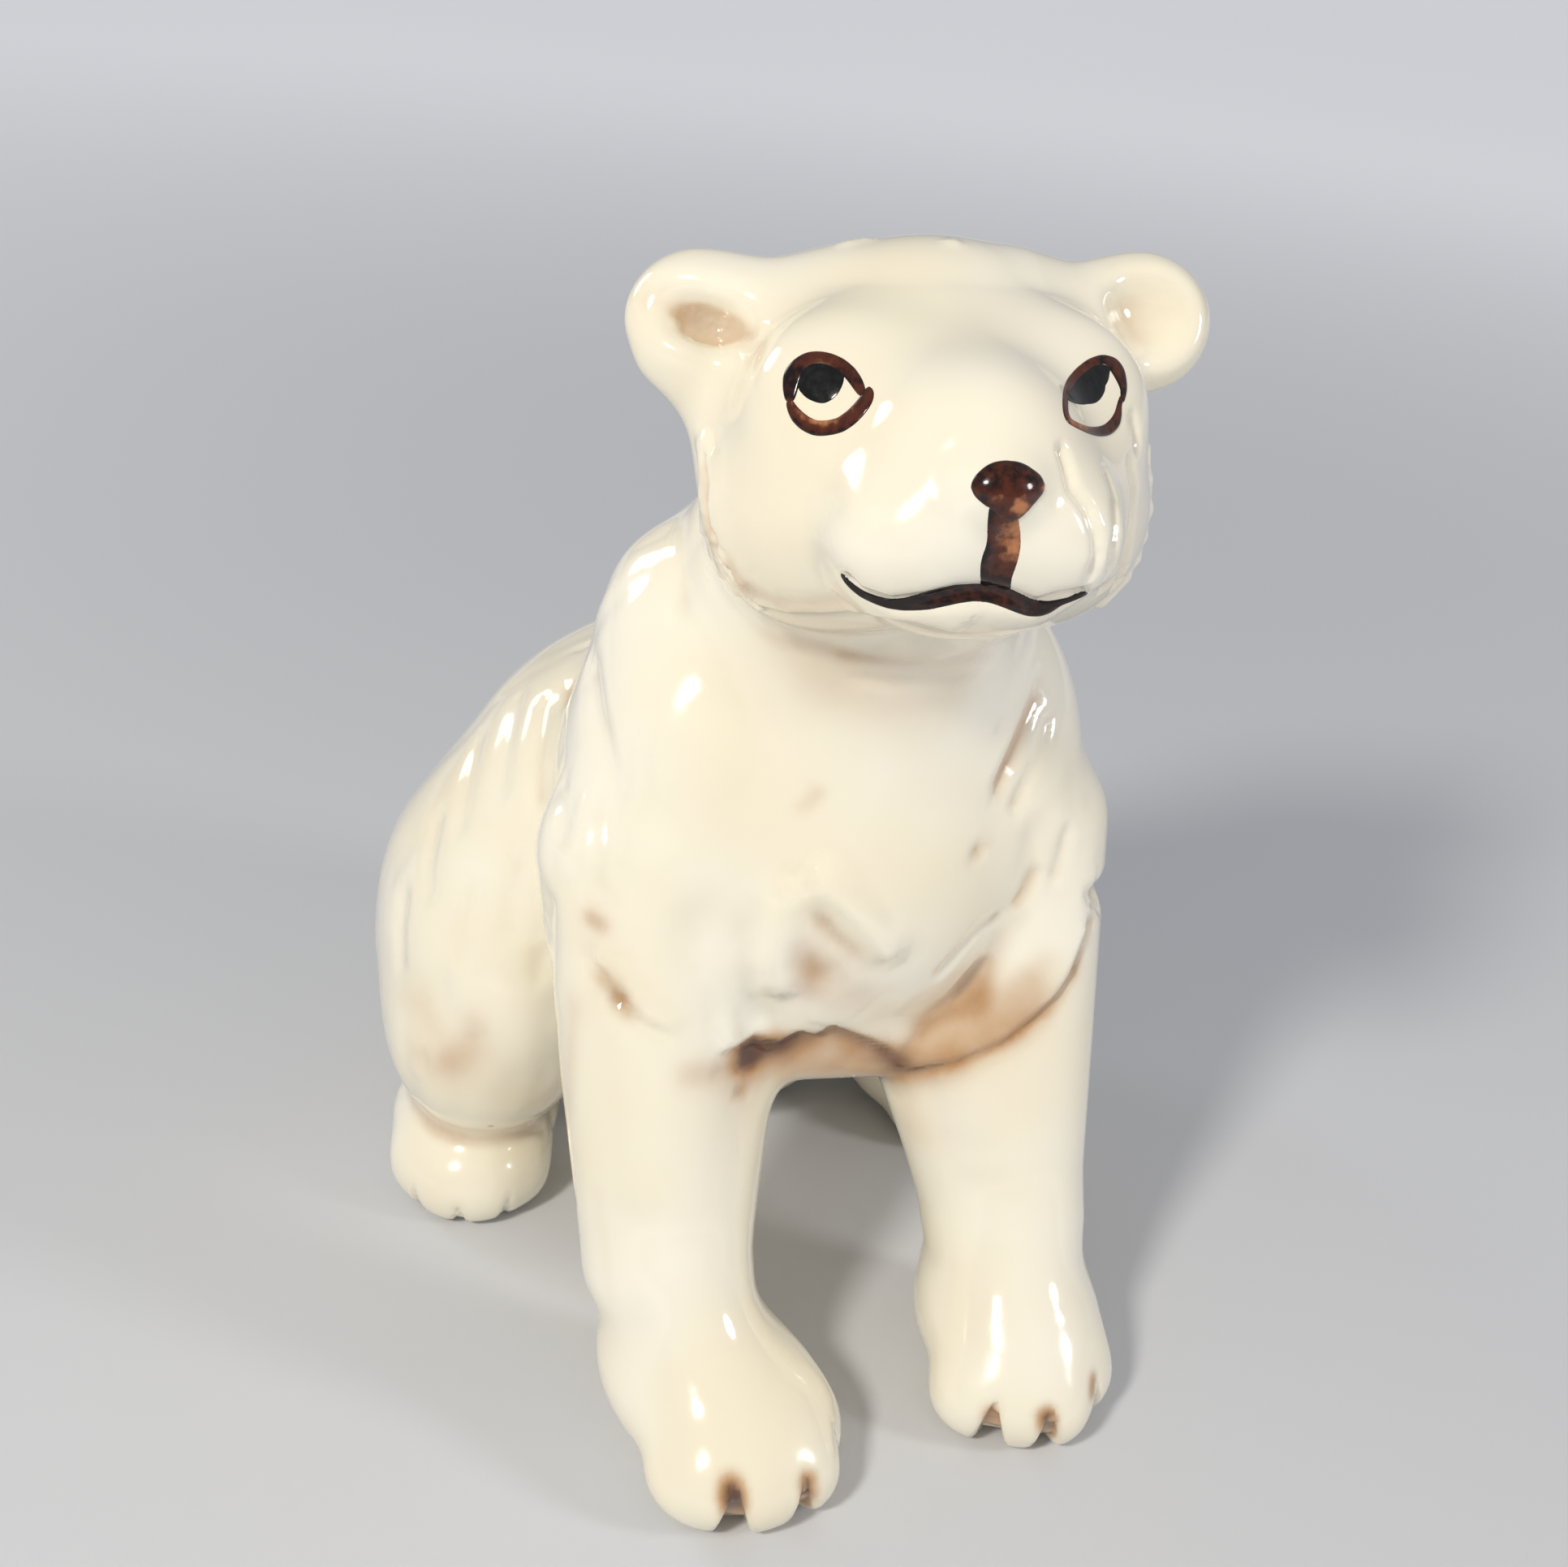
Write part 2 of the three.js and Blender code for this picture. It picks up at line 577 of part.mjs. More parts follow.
// Stand the figurine with the origin under the middle of its outline.
const outline = new THREE.Box3().setFromObject(figurine);
const middle = outline.getCenter(new THREE.Vector3());
figurine.position.set(-middle.x, -middle.y, -outline.min.z);

export default figurine;
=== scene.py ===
"""A sitting polar bear cub of glazed porcelain, dressed around its packed castings.

The outside of the clay is blocked in from balls and limbs, melted together, given its fur, paws,
lips and ears, and then parted along the seams of the castings. The enamel of the eyes, nose and
mouth is laid over the glazed head stroke by stroke.

Sizes are in millimetres in the figurine's own frame, and meshes are in metres in the row frame.
"""

import logging
import math
from dataclasses import dataclass, field
from enum import Enum
from typing import Sequence

import bpy
import numpy as np
from mathutils import Matrix, Vector
from mathutils.bvhtree import BVHTree


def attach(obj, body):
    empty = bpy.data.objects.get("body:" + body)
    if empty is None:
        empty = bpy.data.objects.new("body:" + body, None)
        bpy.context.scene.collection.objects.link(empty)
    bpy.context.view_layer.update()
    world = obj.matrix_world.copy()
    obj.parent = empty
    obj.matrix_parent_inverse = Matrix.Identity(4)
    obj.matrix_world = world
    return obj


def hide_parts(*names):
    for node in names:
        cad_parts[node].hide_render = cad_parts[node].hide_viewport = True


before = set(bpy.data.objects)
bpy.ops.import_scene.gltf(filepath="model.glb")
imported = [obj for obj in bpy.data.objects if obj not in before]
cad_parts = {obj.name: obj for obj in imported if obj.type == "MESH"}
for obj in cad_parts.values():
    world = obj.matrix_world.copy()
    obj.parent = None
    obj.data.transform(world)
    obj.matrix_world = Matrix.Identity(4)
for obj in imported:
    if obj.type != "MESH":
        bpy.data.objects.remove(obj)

log = logging.getLogger("polar_bear")

MM = 0.001
BODY = "root"

# The row frame's origin lies this far behind the figurine's own, in millimetres.
SET_BACK = 1.4406

# How many sides a round bone or drill has.
SIDES = 48

Triple = tuple[float, float, float]
Pair = tuple[float, float]
Points = np.ndarray


class Slot(Enum):
    """The material slots that the figurine's pieces take their finish from."""

    GLAZE = "glazed_porcelain"
    SLIP = "joining_slip"
    BROWN = "brown_enamel"
    BLACK = "black_enamel"


class Relief(Enum):
    """What a stroke of the modelling tool leaves behind."""

    GROOVE = "groove"
    RIDGE = "ridge"
    LEDGE = "ledge"


# places and turns


def placed(at: Sequence[float], x_turn: float = 0, y_turn: float = 0, z_turn: float = 0) -> Matrix:
    """A frame at a place, turned about Y, then X, then Z, by degrees.

    Args:
        at: The frame's origin.
        x_turn: Degrees about X.
        y_turn: Degrees about Y.
        z_turn: Degrees about Z.

    Returns:
        The frame's matrix.
    """
    turn = Matrix.Rotation(math.radians(z_turn), 4, "Z")
    turn = turn @ Matrix.Rotation(math.radians(x_turn), 4, "X")
    turn = turn @ Matrix.Rotation(math.radians(y_turn), 4, "Y")
    return Matrix.Translation(at) @ turn


def pointing(at: Vector, direction: Vector) -> Matrix:
    """A frame at a place whose z points along a direction."""
    turn = Vector((0, 0, 1)).rotation_difference(direction)
    return Matrix.Translation(at) @ turn.to_matrix().to_4x4()


MIRROR = Matrix.Diagonal((-1, 1, 1, 1))
TO_ROW = Matrix.Diagonal((MM, MM, MM, 1)) @ Matrix.Translation((0, -SET_BACK, 0))


def moved(points: Points, matrix: Matrix) -> Points:
    """Points carried by a matrix."""
    m = np.array(matrix)
    return points @ m[:3, :3].T + m[:3, 3]


def folded(points: Points) -> Points:
    """Points with the figurine's right side folded over onto its left.

    Args:
        points: Points on both sides.

    Returns:
        The points, all on the left.
    """
    left = points.copy()
    left[:, 0] = np.abs(left[:, 0])
    return left


# forms of clay


@dataclass(frozen=True)
class Ball:
    """A ball of clay squashed to three radii."""

    at: Triple
    radii: Triple

    def depth(self, points: Points) -> Points:
        """How far each point lies outside the ball, below zero inside it.

        Args:
            points: The points.

        Returns:
            Their depths.
        """
        scaled = (points - self.at) / self.radii
        reach = np.linalg.norm(scaled, axis=1)
        slope = np.maximum(np.linalg.norm(scaled / self.radii, axis=1), 1e-9)
        return reach * (reach - 1) / slope

    def zone(self) -> tuple[Vector, float]:
        """The middle and radius of a round space that holds the ball."""
        return Vector(self.at), max(self.radii)

    def block_in(self, place: Matrix) -> list[bpy.types.Object]:
        """Adds the ball as a primitive at its place in the row frame.

        Args:
            place: The frame that the ball sits in.

        Returns:
            The ball as one lump.
        """
        bpy.ops.mesh.primitive_ico_sphere_add(subdivisions=4, radius=1)
        lump = bpy.context.object
        size = Matrix.Diagonal((*self.radii, 1))
        lump.data.transform(TO_ROW @ place @ Matrix.Translation(self.at) @ size)
        return [lump]


@dataclass(frozen=True)
class Limb:
    """A round bone of clay that tapers from one end to the other."""

    start: Triple
    end: Triple
    start_radius: float
    end_radius: float

    def depth(self, points: Points) -> Points:
        """How far each point lies outside the limb, below zero inside it.

        Args:
            points: The points.

        Returns:
            Their depths.
        """
        along = np.subtract(self.end, self.start)
        share = np.clip((points - self.start) @ along / (along @ along), 0, 1)
        off = np.linalg.norm(points - self.start - share[:, None] * along, axis=1)
        return off - (self.start_radius + (self.end_radius - self.start_radius) * share)

    def zone(self) -> tuple[Vector, float]:
        """The middle and radius of a round space that holds the limb."""
        start, end = Vector(self.start), Vector(self.end)
        return (start + end) / 2, (end - start).length / 2 + max(self.start_radius, self.end_radius)

    def block_in(self, place: Matrix) -> list[bpy.types.Object]:
        """Adds the limb as a cone with a ball at each end, in the row frame.

        Args:
            place: The frame that the limb sits in.

        Returns:
            The cone and its two balls.
        """
        start, end = Vector(self.start), Vector(self.end)
        length = (end - start).length
        bpy.ops.mesh.primitive_cone_add(
            vertices=SIDES, radius1=self.start_radius, radius2=self.end_radius, depth=length
        )
        cone = bpy.context.object
        cone.data.transform(TO_ROW @ place @ pointing((start + end) / 2, end - start))
        caps = [(self.start, self.start_radius), (self.end, self.end_radius)]
        balls = [Ball(at, (radius,) * 3) for at, radius in caps]
        return [cone] + [lump for ball in balls for lump in ball.block_in(place)]


@dataclass(frozen=True)
class Within:
    """A form that is set into a frame of its own."""

    place: Matrix
    form: "Form"

    def depth(self, points: Points) -> Points:
        """The form's depth, read in its own frame."""
        return self.form.depth(moved(points, self.place.inverted()))

    def zone(self) -> tuple[Vector, float]:
        """A round space that holds the form."""
        middle, radius = self.form.zone()
        return self.place @ middle, radius

    def block_in(self, place: Matrix) -> list[bpy.types.Object]:
        """Adds the form at its place."""
        return self.form.block_in(place @ self.place)


@dataclass(frozen=True)
class BothSides:
    """A form on the figurine's left and its mirror image on the right."""

    form: "Form"

    def depth(self, points: Points) -> Points:
        """The form's depth, with the right side folded over onto the left."""
        return self.form.depth(folded(points))

    def zone(self) -> tuple[Vector, float]:
        """A round space that holds both forms."""
        middle, radius = self.form.zone()
        return Vector((0, middle.y, middle.z)), radius + abs(middle.x)

    def block_in(self, place: Matrix) -> list[bpy.types.Object]:
        """Adds the form on both sides."""
        return self.form.block_in(place) + self.form.block_in(place @ MIRROR)


def soft_lower(a: Points, b: Points, soft: float) -> Points:
    """The lower of two depths, melted together over a soft width."""
    share = np.maximum(soft - np.abs(a - b), 0) / soft
    return np.minimum(a, b) - share * share * soft / 4


@dataclass(frozen=True)
class Melt:
    """Forms that melt one after another into the ones before them, each over its soft width."""

    first: "Form"
    rest: tuple[tuple["Form", float], ...]
    margin: float = 4

    def depth(self, points: Points) -> Points:
        """The melted form's depth, where each form counts only near itself.

        Args:
            points: The points.

        Returns:
            Their depths.
        """
        depth = self.first.depth(points)
        for form, soft in self.rest:
            middle, radius = form.zone()
            near = np.linalg.norm(points - middle, axis=1) < radius + soft + self.margin
            depth[near] = soft_lower(depth[near], form.depth(points[near]), soft)
        return depth

    def zone(self) -> tuple[Vector, float]:
        """A round space that holds all the forms.

        Returns:
            Its middle and its radius.
        """
        zones = [self.first.zone()] + [form.zone() for form, _ in self.rest]
        middle = sum((at for at, _ in zones), Vector()) / len(zones)
        return middle, max((at - middle).length + radius for at, radius in zones)

    def block_in(self, place: Matrix) -> list[bpy.types.Object]:
        """Adds each of the forms."""
        forms = [self.first] + [form for form, _ in self.rest]
        return [lump for form in forms for lump in form.block_in(place)]


@dataclass(frozen=True)
class PressedIn:
    """A form with a rounded tool pressed into it."""

    form: "Form"
    tool: "Form"
    soft: float

    def depth(self, points: Points) -> Points:
        """The form's depth, outside the tool."""
        return -soft_lower(-self.form.depth(points), self.tool.depth(points), self.soft)

    def zone(self) -> tuple[Vector, float]:
        """A round space that holds the form."""
        return self.form.zone()

    def block_in(self, place: Matrix) -> list[bpy.types.Object]:
        """Adds the form that the tool is later pressed into."""
        return self.form.block_in(place)


@dataclass(frozen=True)
class Wedge:
    """A nick that opens outwards and downwards, in a frame at its foot whose -y points outwards."""

    half: float
    height: float
    inward: float
    widest: float = 1.2

    def depth(self, points: Points) -> Points:
        """How far each point lies outside the nick."""
        opening = 1 - points[:, 2] / self.height - points[:, 1] / self.inward
        return np.abs(points[:, 0]) - self.half * np.minimum(opening, self.widest)

    def zone(self) -> tuple[Vector, float]:
        """A round space that holds the nick's foot."""
        return Vector(), self.height

    def block_in(self, place: Matrix) -> list[bpy.types.Object]:
        """Adds nothing, because a nick is only ever pressed in."""
        return []


Form = Ball | Limb | Within | BothSides | Melt | PressedIn | Wedge


@dataclass(frozen=True)
class EarForm:
    """An ear on the left: a thick disc on its root, with a slanting hollow in its front."""

    lobe: Ball
    root: Limb
    hollow: Triple
    ahead: float
    tilt: float
    hollow_soft: float
    under: tuple[Limb, ...] = ()
    soft: float = 3

    def form(self) -> Form:
        """The ear in the head's frame.

        Returns:
            The form.
        """
        x, y, z = self.lobe.at
        dent = Within(placed((x, y - self.ahead, z), 0, self.tilt), Ball((0, 0, 0), self.hollow))
        fills = tuple((limb, self.soft) for limb in (self.root, *self.under))
        return PressedIn(Melt(self.lobe, fills), dent, self.hollow_soft)


@dataclass(frozen=True)
class HeadForm:
    """The head's sizes, in its own frame: x to its left, -y out of the face, z up."""

    at: Triple = (-0.3, -23.3, 95.3)
    pitch: float = 21.5
    yaw: float = -11.7
    roll: float = 2.1
    skull: Ball = Ball((0, 3, 2.6), (16.8, 16.5, 13.7))
    crown: Ball = Ball((0.3, 1, 12.1), (10.2, 8.0, 5.0))
    crown_soft: float = 2.2
    lumps: tuple[tuple[Ball, float], ...] = (
        (Ball((0, -12.5, 0.8), (6.5, 9.5, 5.2)), 7),
        (Ball((8.6, -0.5, -5), (9.5, 11.5, 9.4)), 6),
        (Ball((0, -12, -5.4), (10.2, 11.5, 7.4)), 9),
        (Ball((5.0, -17.2, -7.6), (5.8, 5.8, 5.0)), 3),
        (Ball((0, -14.5, -11.6), (6.5, 5.6, 3.4)), 2.5),
        (Ball((9.6, -9.0, 3.8), (5.0, 4.0, 5.0)), 6),
        (Ball((0, -23.2, -4.2), (3.0, 2.4, 2.4)), 2),
    )
    ruff: tuple[Limb, ...] = (
        Limb((17.4, -1.5, -0.1), (18.3, -1.6, -3.7), 1.3, 0.4),
        Limb((17.3, -2.0, -2.6), (18.2, -0.7, -6.4), 1.4, 0.4),
        Limb((17.2, -2.2, -4.9), (17.5, -0.4, -8.4), 1.5, 0.4),
        Limb((16.7, -2.4, -6.9), (16.7, -0.2, -9.9), 1.5, 0.4),
        Limb((16.1, -2.9, -8.6), (15.6, -1.2, -11.4), 1.4, 0.4),
        Limb((15.2, -3.4, -10.1), (14.1, -2.9, -12.6), 1.3, 0.4),
    )
    ruff_soft: float = 0.5
    ear_seam: Triple = (14.8, 1.2, 9.4)
    left_ear: EarForm = EarForm(
        lobe=Ball((18.6, 1.2, 10.8), (5.7, 3.2, 5.3)),
        root=Limb((8.5, 1.2, 9.8), (18.3, 1.2, 10.2), 6.0, 4.6),
        hollow=(4.3, 3.4, 3.7),
        ahead=5.2,
        tilt=21,
        hollow_soft=1.8,
    )
    right_ear: EarForm = EarForm(
        lobe=Ball((18.3, 1.2, 9.9), (5.6, 3.2, 5.5)),
        root=Limb((8.5, 1.2, 9.6), (18.0, 1.2, 10.0), 6.0, 5.0),
        hollow=(4.7, 3.0, 1.7),
        ahead=5.0,
        tilt=-20,
        hollow_soft=2.8,
        under=(Limb((18.4, 1.5, 8.0), (15.0, 1.5, 0.0), 3.2, 2.7),),
    )
    ear_soft: float = 3

    def place(self) -> Matrix:
        """The head's frame in the figurine's frame."""
        return placed(self.at, -self.pitch, -self.roll, self.yaw)

    def form(self) -> Form:
        """The whole head in the figurine's frame.

        Returns:
            The form.
        """
        face = BothSides(Melt(self.skull, self.lumps))
        ears = (self.left_ear.form(), Within(MIRROR, self.right_ear.form()))
        tufts = tuple((BothSides(tuft), self.ruff_soft) for tuft in self.ruff)
        rest = ((self.crown, self.crown_soft), *tufts, *((ear, self.ear_soft) for ear in ears))
        return Within(self.place(), Melt(face, rest))


@dataclass(frozen=True)
class PawForm:
    """A broad paw: toes fanned round the front of its sole, parted by nicks that open downwards.

    A toe is its angle from straight ahead, its half width and how far it reaches past the sole. A
    cleft is its angle and its half width.
    """

    at: Pair
    radii: Triple
    turn: float
    toes: tuple[Triple, ...]
    clefts: tuple[Pair, ...]
    nick_height: float = 7.6
    nick_inward: float = 7.4
    sink: float = 0.4
    ease: Pair = (0.9, 1.3)
    toe_reach: float = 4.6
    toe_height: float = 4.1
    toe_soft: float = 2.6
    nick_out: float = 0.4
    nick_soft: float = 0.6

    def round_front(self, angle: float, out: float, height: float) -> Triple:
        """A place round the front of the paw, by its angle from straight ahead.

        Args:
            angle: Degrees from straight ahead.
            out: How far outside the sole's edge.
            height: How far above the paw's middle.

        Returns:
            The place in the paw's frame.
        """
        rx, ry, _ = self.radii
        a = math.radians(angle)
        return (math.sin(a) * (rx + out), -math.cos(a) * (ry + out), height)

    def form(self) -> Form:
        """The paw in the figurine's frame.

        Returns:
            The form.
        """
        rx, ry, rz = self.radii
        toes = []
        for angle, half, out in self.toes:
            middle = self.round_front(angle, out - self.toe_reach, self.toe_height - rz)
            place = placed(middle, 0, 0, angle)
            toe = Ball((0, 0, 0), (half, self.toe_reach, self.toe_height))
            toes.append((Within(place, toe), self.toe_soft))
        form = Melt(Ball((0, 0, 0), (rx - self.ease[0], ry - self.ease[1], rz)), tuple(toes))
        for angle, half in self.clefts:
            foot = placed(self.round_front(angle, self.nick_out, -rz), 0, 0, angle)
            nick = Wedge(half, self.nick_height, self.nick_inward)
            form = PressedIn(form, Within(foot, nick), self.nick_soft)
        middle = (*self.at, rz - self.sink)
        return Within(placed(middle, 0, 0, self.turn), form)


@dataclass(frozen=True)
class ForelegForm:
    """A foreleg on the figurine's left: a bone, a heel and an instep that run into a paw.

    The seam's bone gives the cut below the elbow its place, as in the CAD source.
    """

    seam_bone: Limb = Limb((18.5, -13, 54), (16.8, -24.5, 17), 10.1, 8.3)
    bone: Limb = Limb((18.2, -13, 54), (18.0, -24.5, 17), 9.7, 7.6)
    inner: Limb = Limb((12.2, -19, 33), (17.0, -23.3, 17.5), 7.8, 7.1)
    heel: Ball = Ball((18.0, -25, 8), (5.8, 6.5, 6.0))
    instep: Limb = Limb((17.4, -27.0, 16.0), (16.6, -31.5, 10.0), 5.4, 4.8)
    fill_soft: float = 3
    instep_soft: float = 4
    paw: PawForm = PawForm(
        (17.0, -31.2), (9.9, 11.8, 7.0), -7,
        ((-46, 4.8, 1.6), (-13, 4.3, 0.5), (15, 4.0, 0.9), (58, 4.4, 0.4)),
        ((-29, 2.1), (2, 1.8), (40, 1.8)),
    )
    paw_soft: float = 7

    def form(self) -> Form:
        """The foreleg with its paw.

        Returns:
            The form.
        """
        fills = ((self.inner, self.fill_soft), (self.heel, self.fill_soft))
        foot = ((self.paw.form(), self.paw_soft), (self.instep, self.instep_soft))
        return Melt(self.bone, fills + foot)


@dataclass(frozen=True)
class TrunkForm:
    """Neck, chest, back, rump, haunches, hind paws and tail.

    The middle forms are the chest, the swelling low on it, the back, one swelling on the right of the
    neck, the rump and the bar that closes the arch between the forelegs. The pairs are the shoulders,
    the swellings at the foot of the neck, the haunches, the knees and the webs beside the chest.
    """

    neck: Limb = Limb((0, 0, 60), (0, -15.0, 86.0), 20.5, 14.8)
    middle: tuple[tuple[Form, float], ...] = (
        (Ball((0, -6.5, 56), (21.5, 20, 20)), 9),
        (Ball((0, -14.5, 47.5), (15, 10.8, 12.5)), 9),
        (Ball((0, 17.5, 43.4), (29.2, 25, 20.6)), 4.5),
        (Ball((-12.6, -3.5, 74.0), (8.2, 8.0, 8.6)), 3),
        (Ball((0, 26.5, 21.5), (25.5, 19.5, 24)), 8),
        (Limb((-8.5, -18.4, 35.8), (9.0, -20.2, 35.5), 4.0, 4.2), 4),
    )
    pairs: tuple[tuple[Form, float], ...] = (
        (Ball((16.6, -9.8, 57), (8.2, 12, 18)), 6),
        (Ball((11.5, -5, 72.5), (8.2, 8, 8.5)), 3),
        (Ball((25.2, 19, 26.6), (12.3, 19.5, 20.6)), 6),
        (Ball((29.2, 12.5, 18.5), (7.3, 10, 8.5)), 5),
        (Limb((9.5, -13, 41), (14.3, -18.6, 28), 7.5, 5.3), 4),
    )
    hind_paw: PawForm = PawForm(
        (27.3, 15.8), (10.0, 13.8, 6.3), 13,
        ((-42, 4.2, 0), (-6, 4.2, 0), (24, 4.0, 0), (54, 4.4, 0)),
        ((-22, 1.5), (9, 1.5), (39, 1.5)), nick_height=4.8, nick_inward=4.4,
    )
    hind_paw_seam: Triple = (28.6, 7.6, 8.0)
    hind_paw_soft: float = 2.8
    tail: Ball = Ball((0, 46.5, 11), (4.6, 5.4, 5.4))
    tail_soft: float = 2.5

    def form(self) -> Form:
        """The whole trunk.

        Returns:
            The form.
        """
        pairs = tuple((BothSides(form), soft) for form, soft in self.pairs)
        paws = (BothSides(self.hind_paw.form()), self.hind_paw_soft)
        return Melt(self.neck, self.middle + pairs + (paws, (self.tail, self.tail_soft)))


# meshes by hand


def deselect() -> None:
    """Nothing is selected after this."""
    bpy.ops.object.select_all(action="DESELECT")


def pick(*objects: bpy.types.Object) -> None:
    """Selects these objects alone, the last of them active.

    Args:
        objects: The objects to select.
    """
    deselect()
    for obj in objects:
        obj.select_set(True)
    bpy.context.view_layer.objects.active = objects[-1]


def joined(objects: Sequence[bpy.types.Object], name: str) -> bpy.types.Object:
    """Joins objects into one, under a name.

    Args:
        objects: The objects to join.
        name: What to call the whole.

    Returns:
        The whole.
    """
    pick(*objects)
    bpy.ops.object.join()
    whole = bpy.context.object
    whole.name = whole.data.name = name
    return whole


def copied(obj: bpy.types.Object, name: str) -> bpy.types.Object:
    """A copy of an object with its own mesh, under a name.

    Args:
        obj: The object to copy.
        name: What to call the copy.

    Returns:
        The copy.
    """
    twin = obj.copy()
    twin.data = obj.data.copy()
    twin.name = twin.data.name = name
    bpy.context.scene.collection.objects.link(twin)
    return twin


def finished(obj: bpy.types.Object, kind: str, **settings: object) -> None:
    """Adds a modifier to an object, sets it and applies it.

    Args:
        obj: The object to finish.
        kind: The modifier's type.
        settings: The modifier's settings by name.
    """
    pick(obj)
    modifier = obj.modifiers.new(kind.title(), kind)
    for key, value in settings.items():
        setattr(modifier, key, value)
    bpy.ops.object.modifier_apply(modifier=modifier.name)


def discard(*objects: bpy.types.Object) -> None:
    """Removes objects and their meshes.

    Args:
        objects: The objects to remove.
    """
    for obj in objects:
        mesh = obj.data
        bpy.data.objects.remove(obj)
        bpy.data.meshes.remove(mesh)


def gathered(items: object, what: str, width: int = 1, kind: type = np.float32) -> np.ndarray:
    """Reads one property of all of a mesh's points, edges, corners or faces.

    Args:
        items: The mesh's collection of them.
        what: The property's name.
        width: How many numbers each of them holds.
        kind: The numbers' type.

    Returns:
        The numbers, in rows where an item holds more than one.
    """
    values = np.empty(len(items) * width, kind)
    items.foreach_get(what, values)
    return values.reshape(-1, width) if width > 1 else values


def read_points(obj: bpy.types.Object) -> Points:
    """An object's points in millimetres in the figurine's frame."""
    return moved(gathered(obj.data.vertices, "co", 3, float), TO_ROW.inverted())


def write_points(obj: bpy.types.Object, points: Points) -> None:
    """Puts points, in millimetres in the figurine's frame, back into an object."""
    obj.data.vertices.foreach_set("co", moved(points, TO_ROW).ravel())
    obj.data.update()


def read_normals(obj: bpy.types.Object) -> Points:
    """The direction in which an object's surface faces at each of its points."""
    return gathered(obj.data.vertex_normals, "vector", 3).astype(float)


def combine(obj: bpy.types.Object, other: bpy.types.Object, operation: str) -> None:
    """Unites, cuts or intersects an object with another one, which is used up."""
    finished(obj, "BOOLEAN", object=other, operation=operation, solver="MANIFOLD")
    discard(other)


def read_edges(obj: bpy.types.Object) -> np.ndarray:
    """The two ends of each of an object's edges."""
    return gathered(obj.data.edges, "vertices", 2, np.int32)


def spread(values: Points, edges: np.ndarray, rounds: int) -> Points:
    """Values evened out between neighbouring points, halfway each time.

    Args:
        values: One row of values for each point.
        edges: The two ends of each edge.
        rounds: How many times each point moves towards its neighbours.

    Returns:
        The evened values.
    """
    a, b = edges.T
    size = len(values)
    near = np.maximum(np.bincount(a, minlength=size) + np.bincount(b, minlength=size), 1)
    columns = []
    for column in np.atleast_2d(values.T):
        for _ in range(rounds):
            total = np.bincount(a, column[b], size) + np.bincount(b, column[a], size)
            column = column + (total / near - column) * 0.5
        columns.append(column)
    return np.array(columns).T if values.ndim > 1 else columns[0]


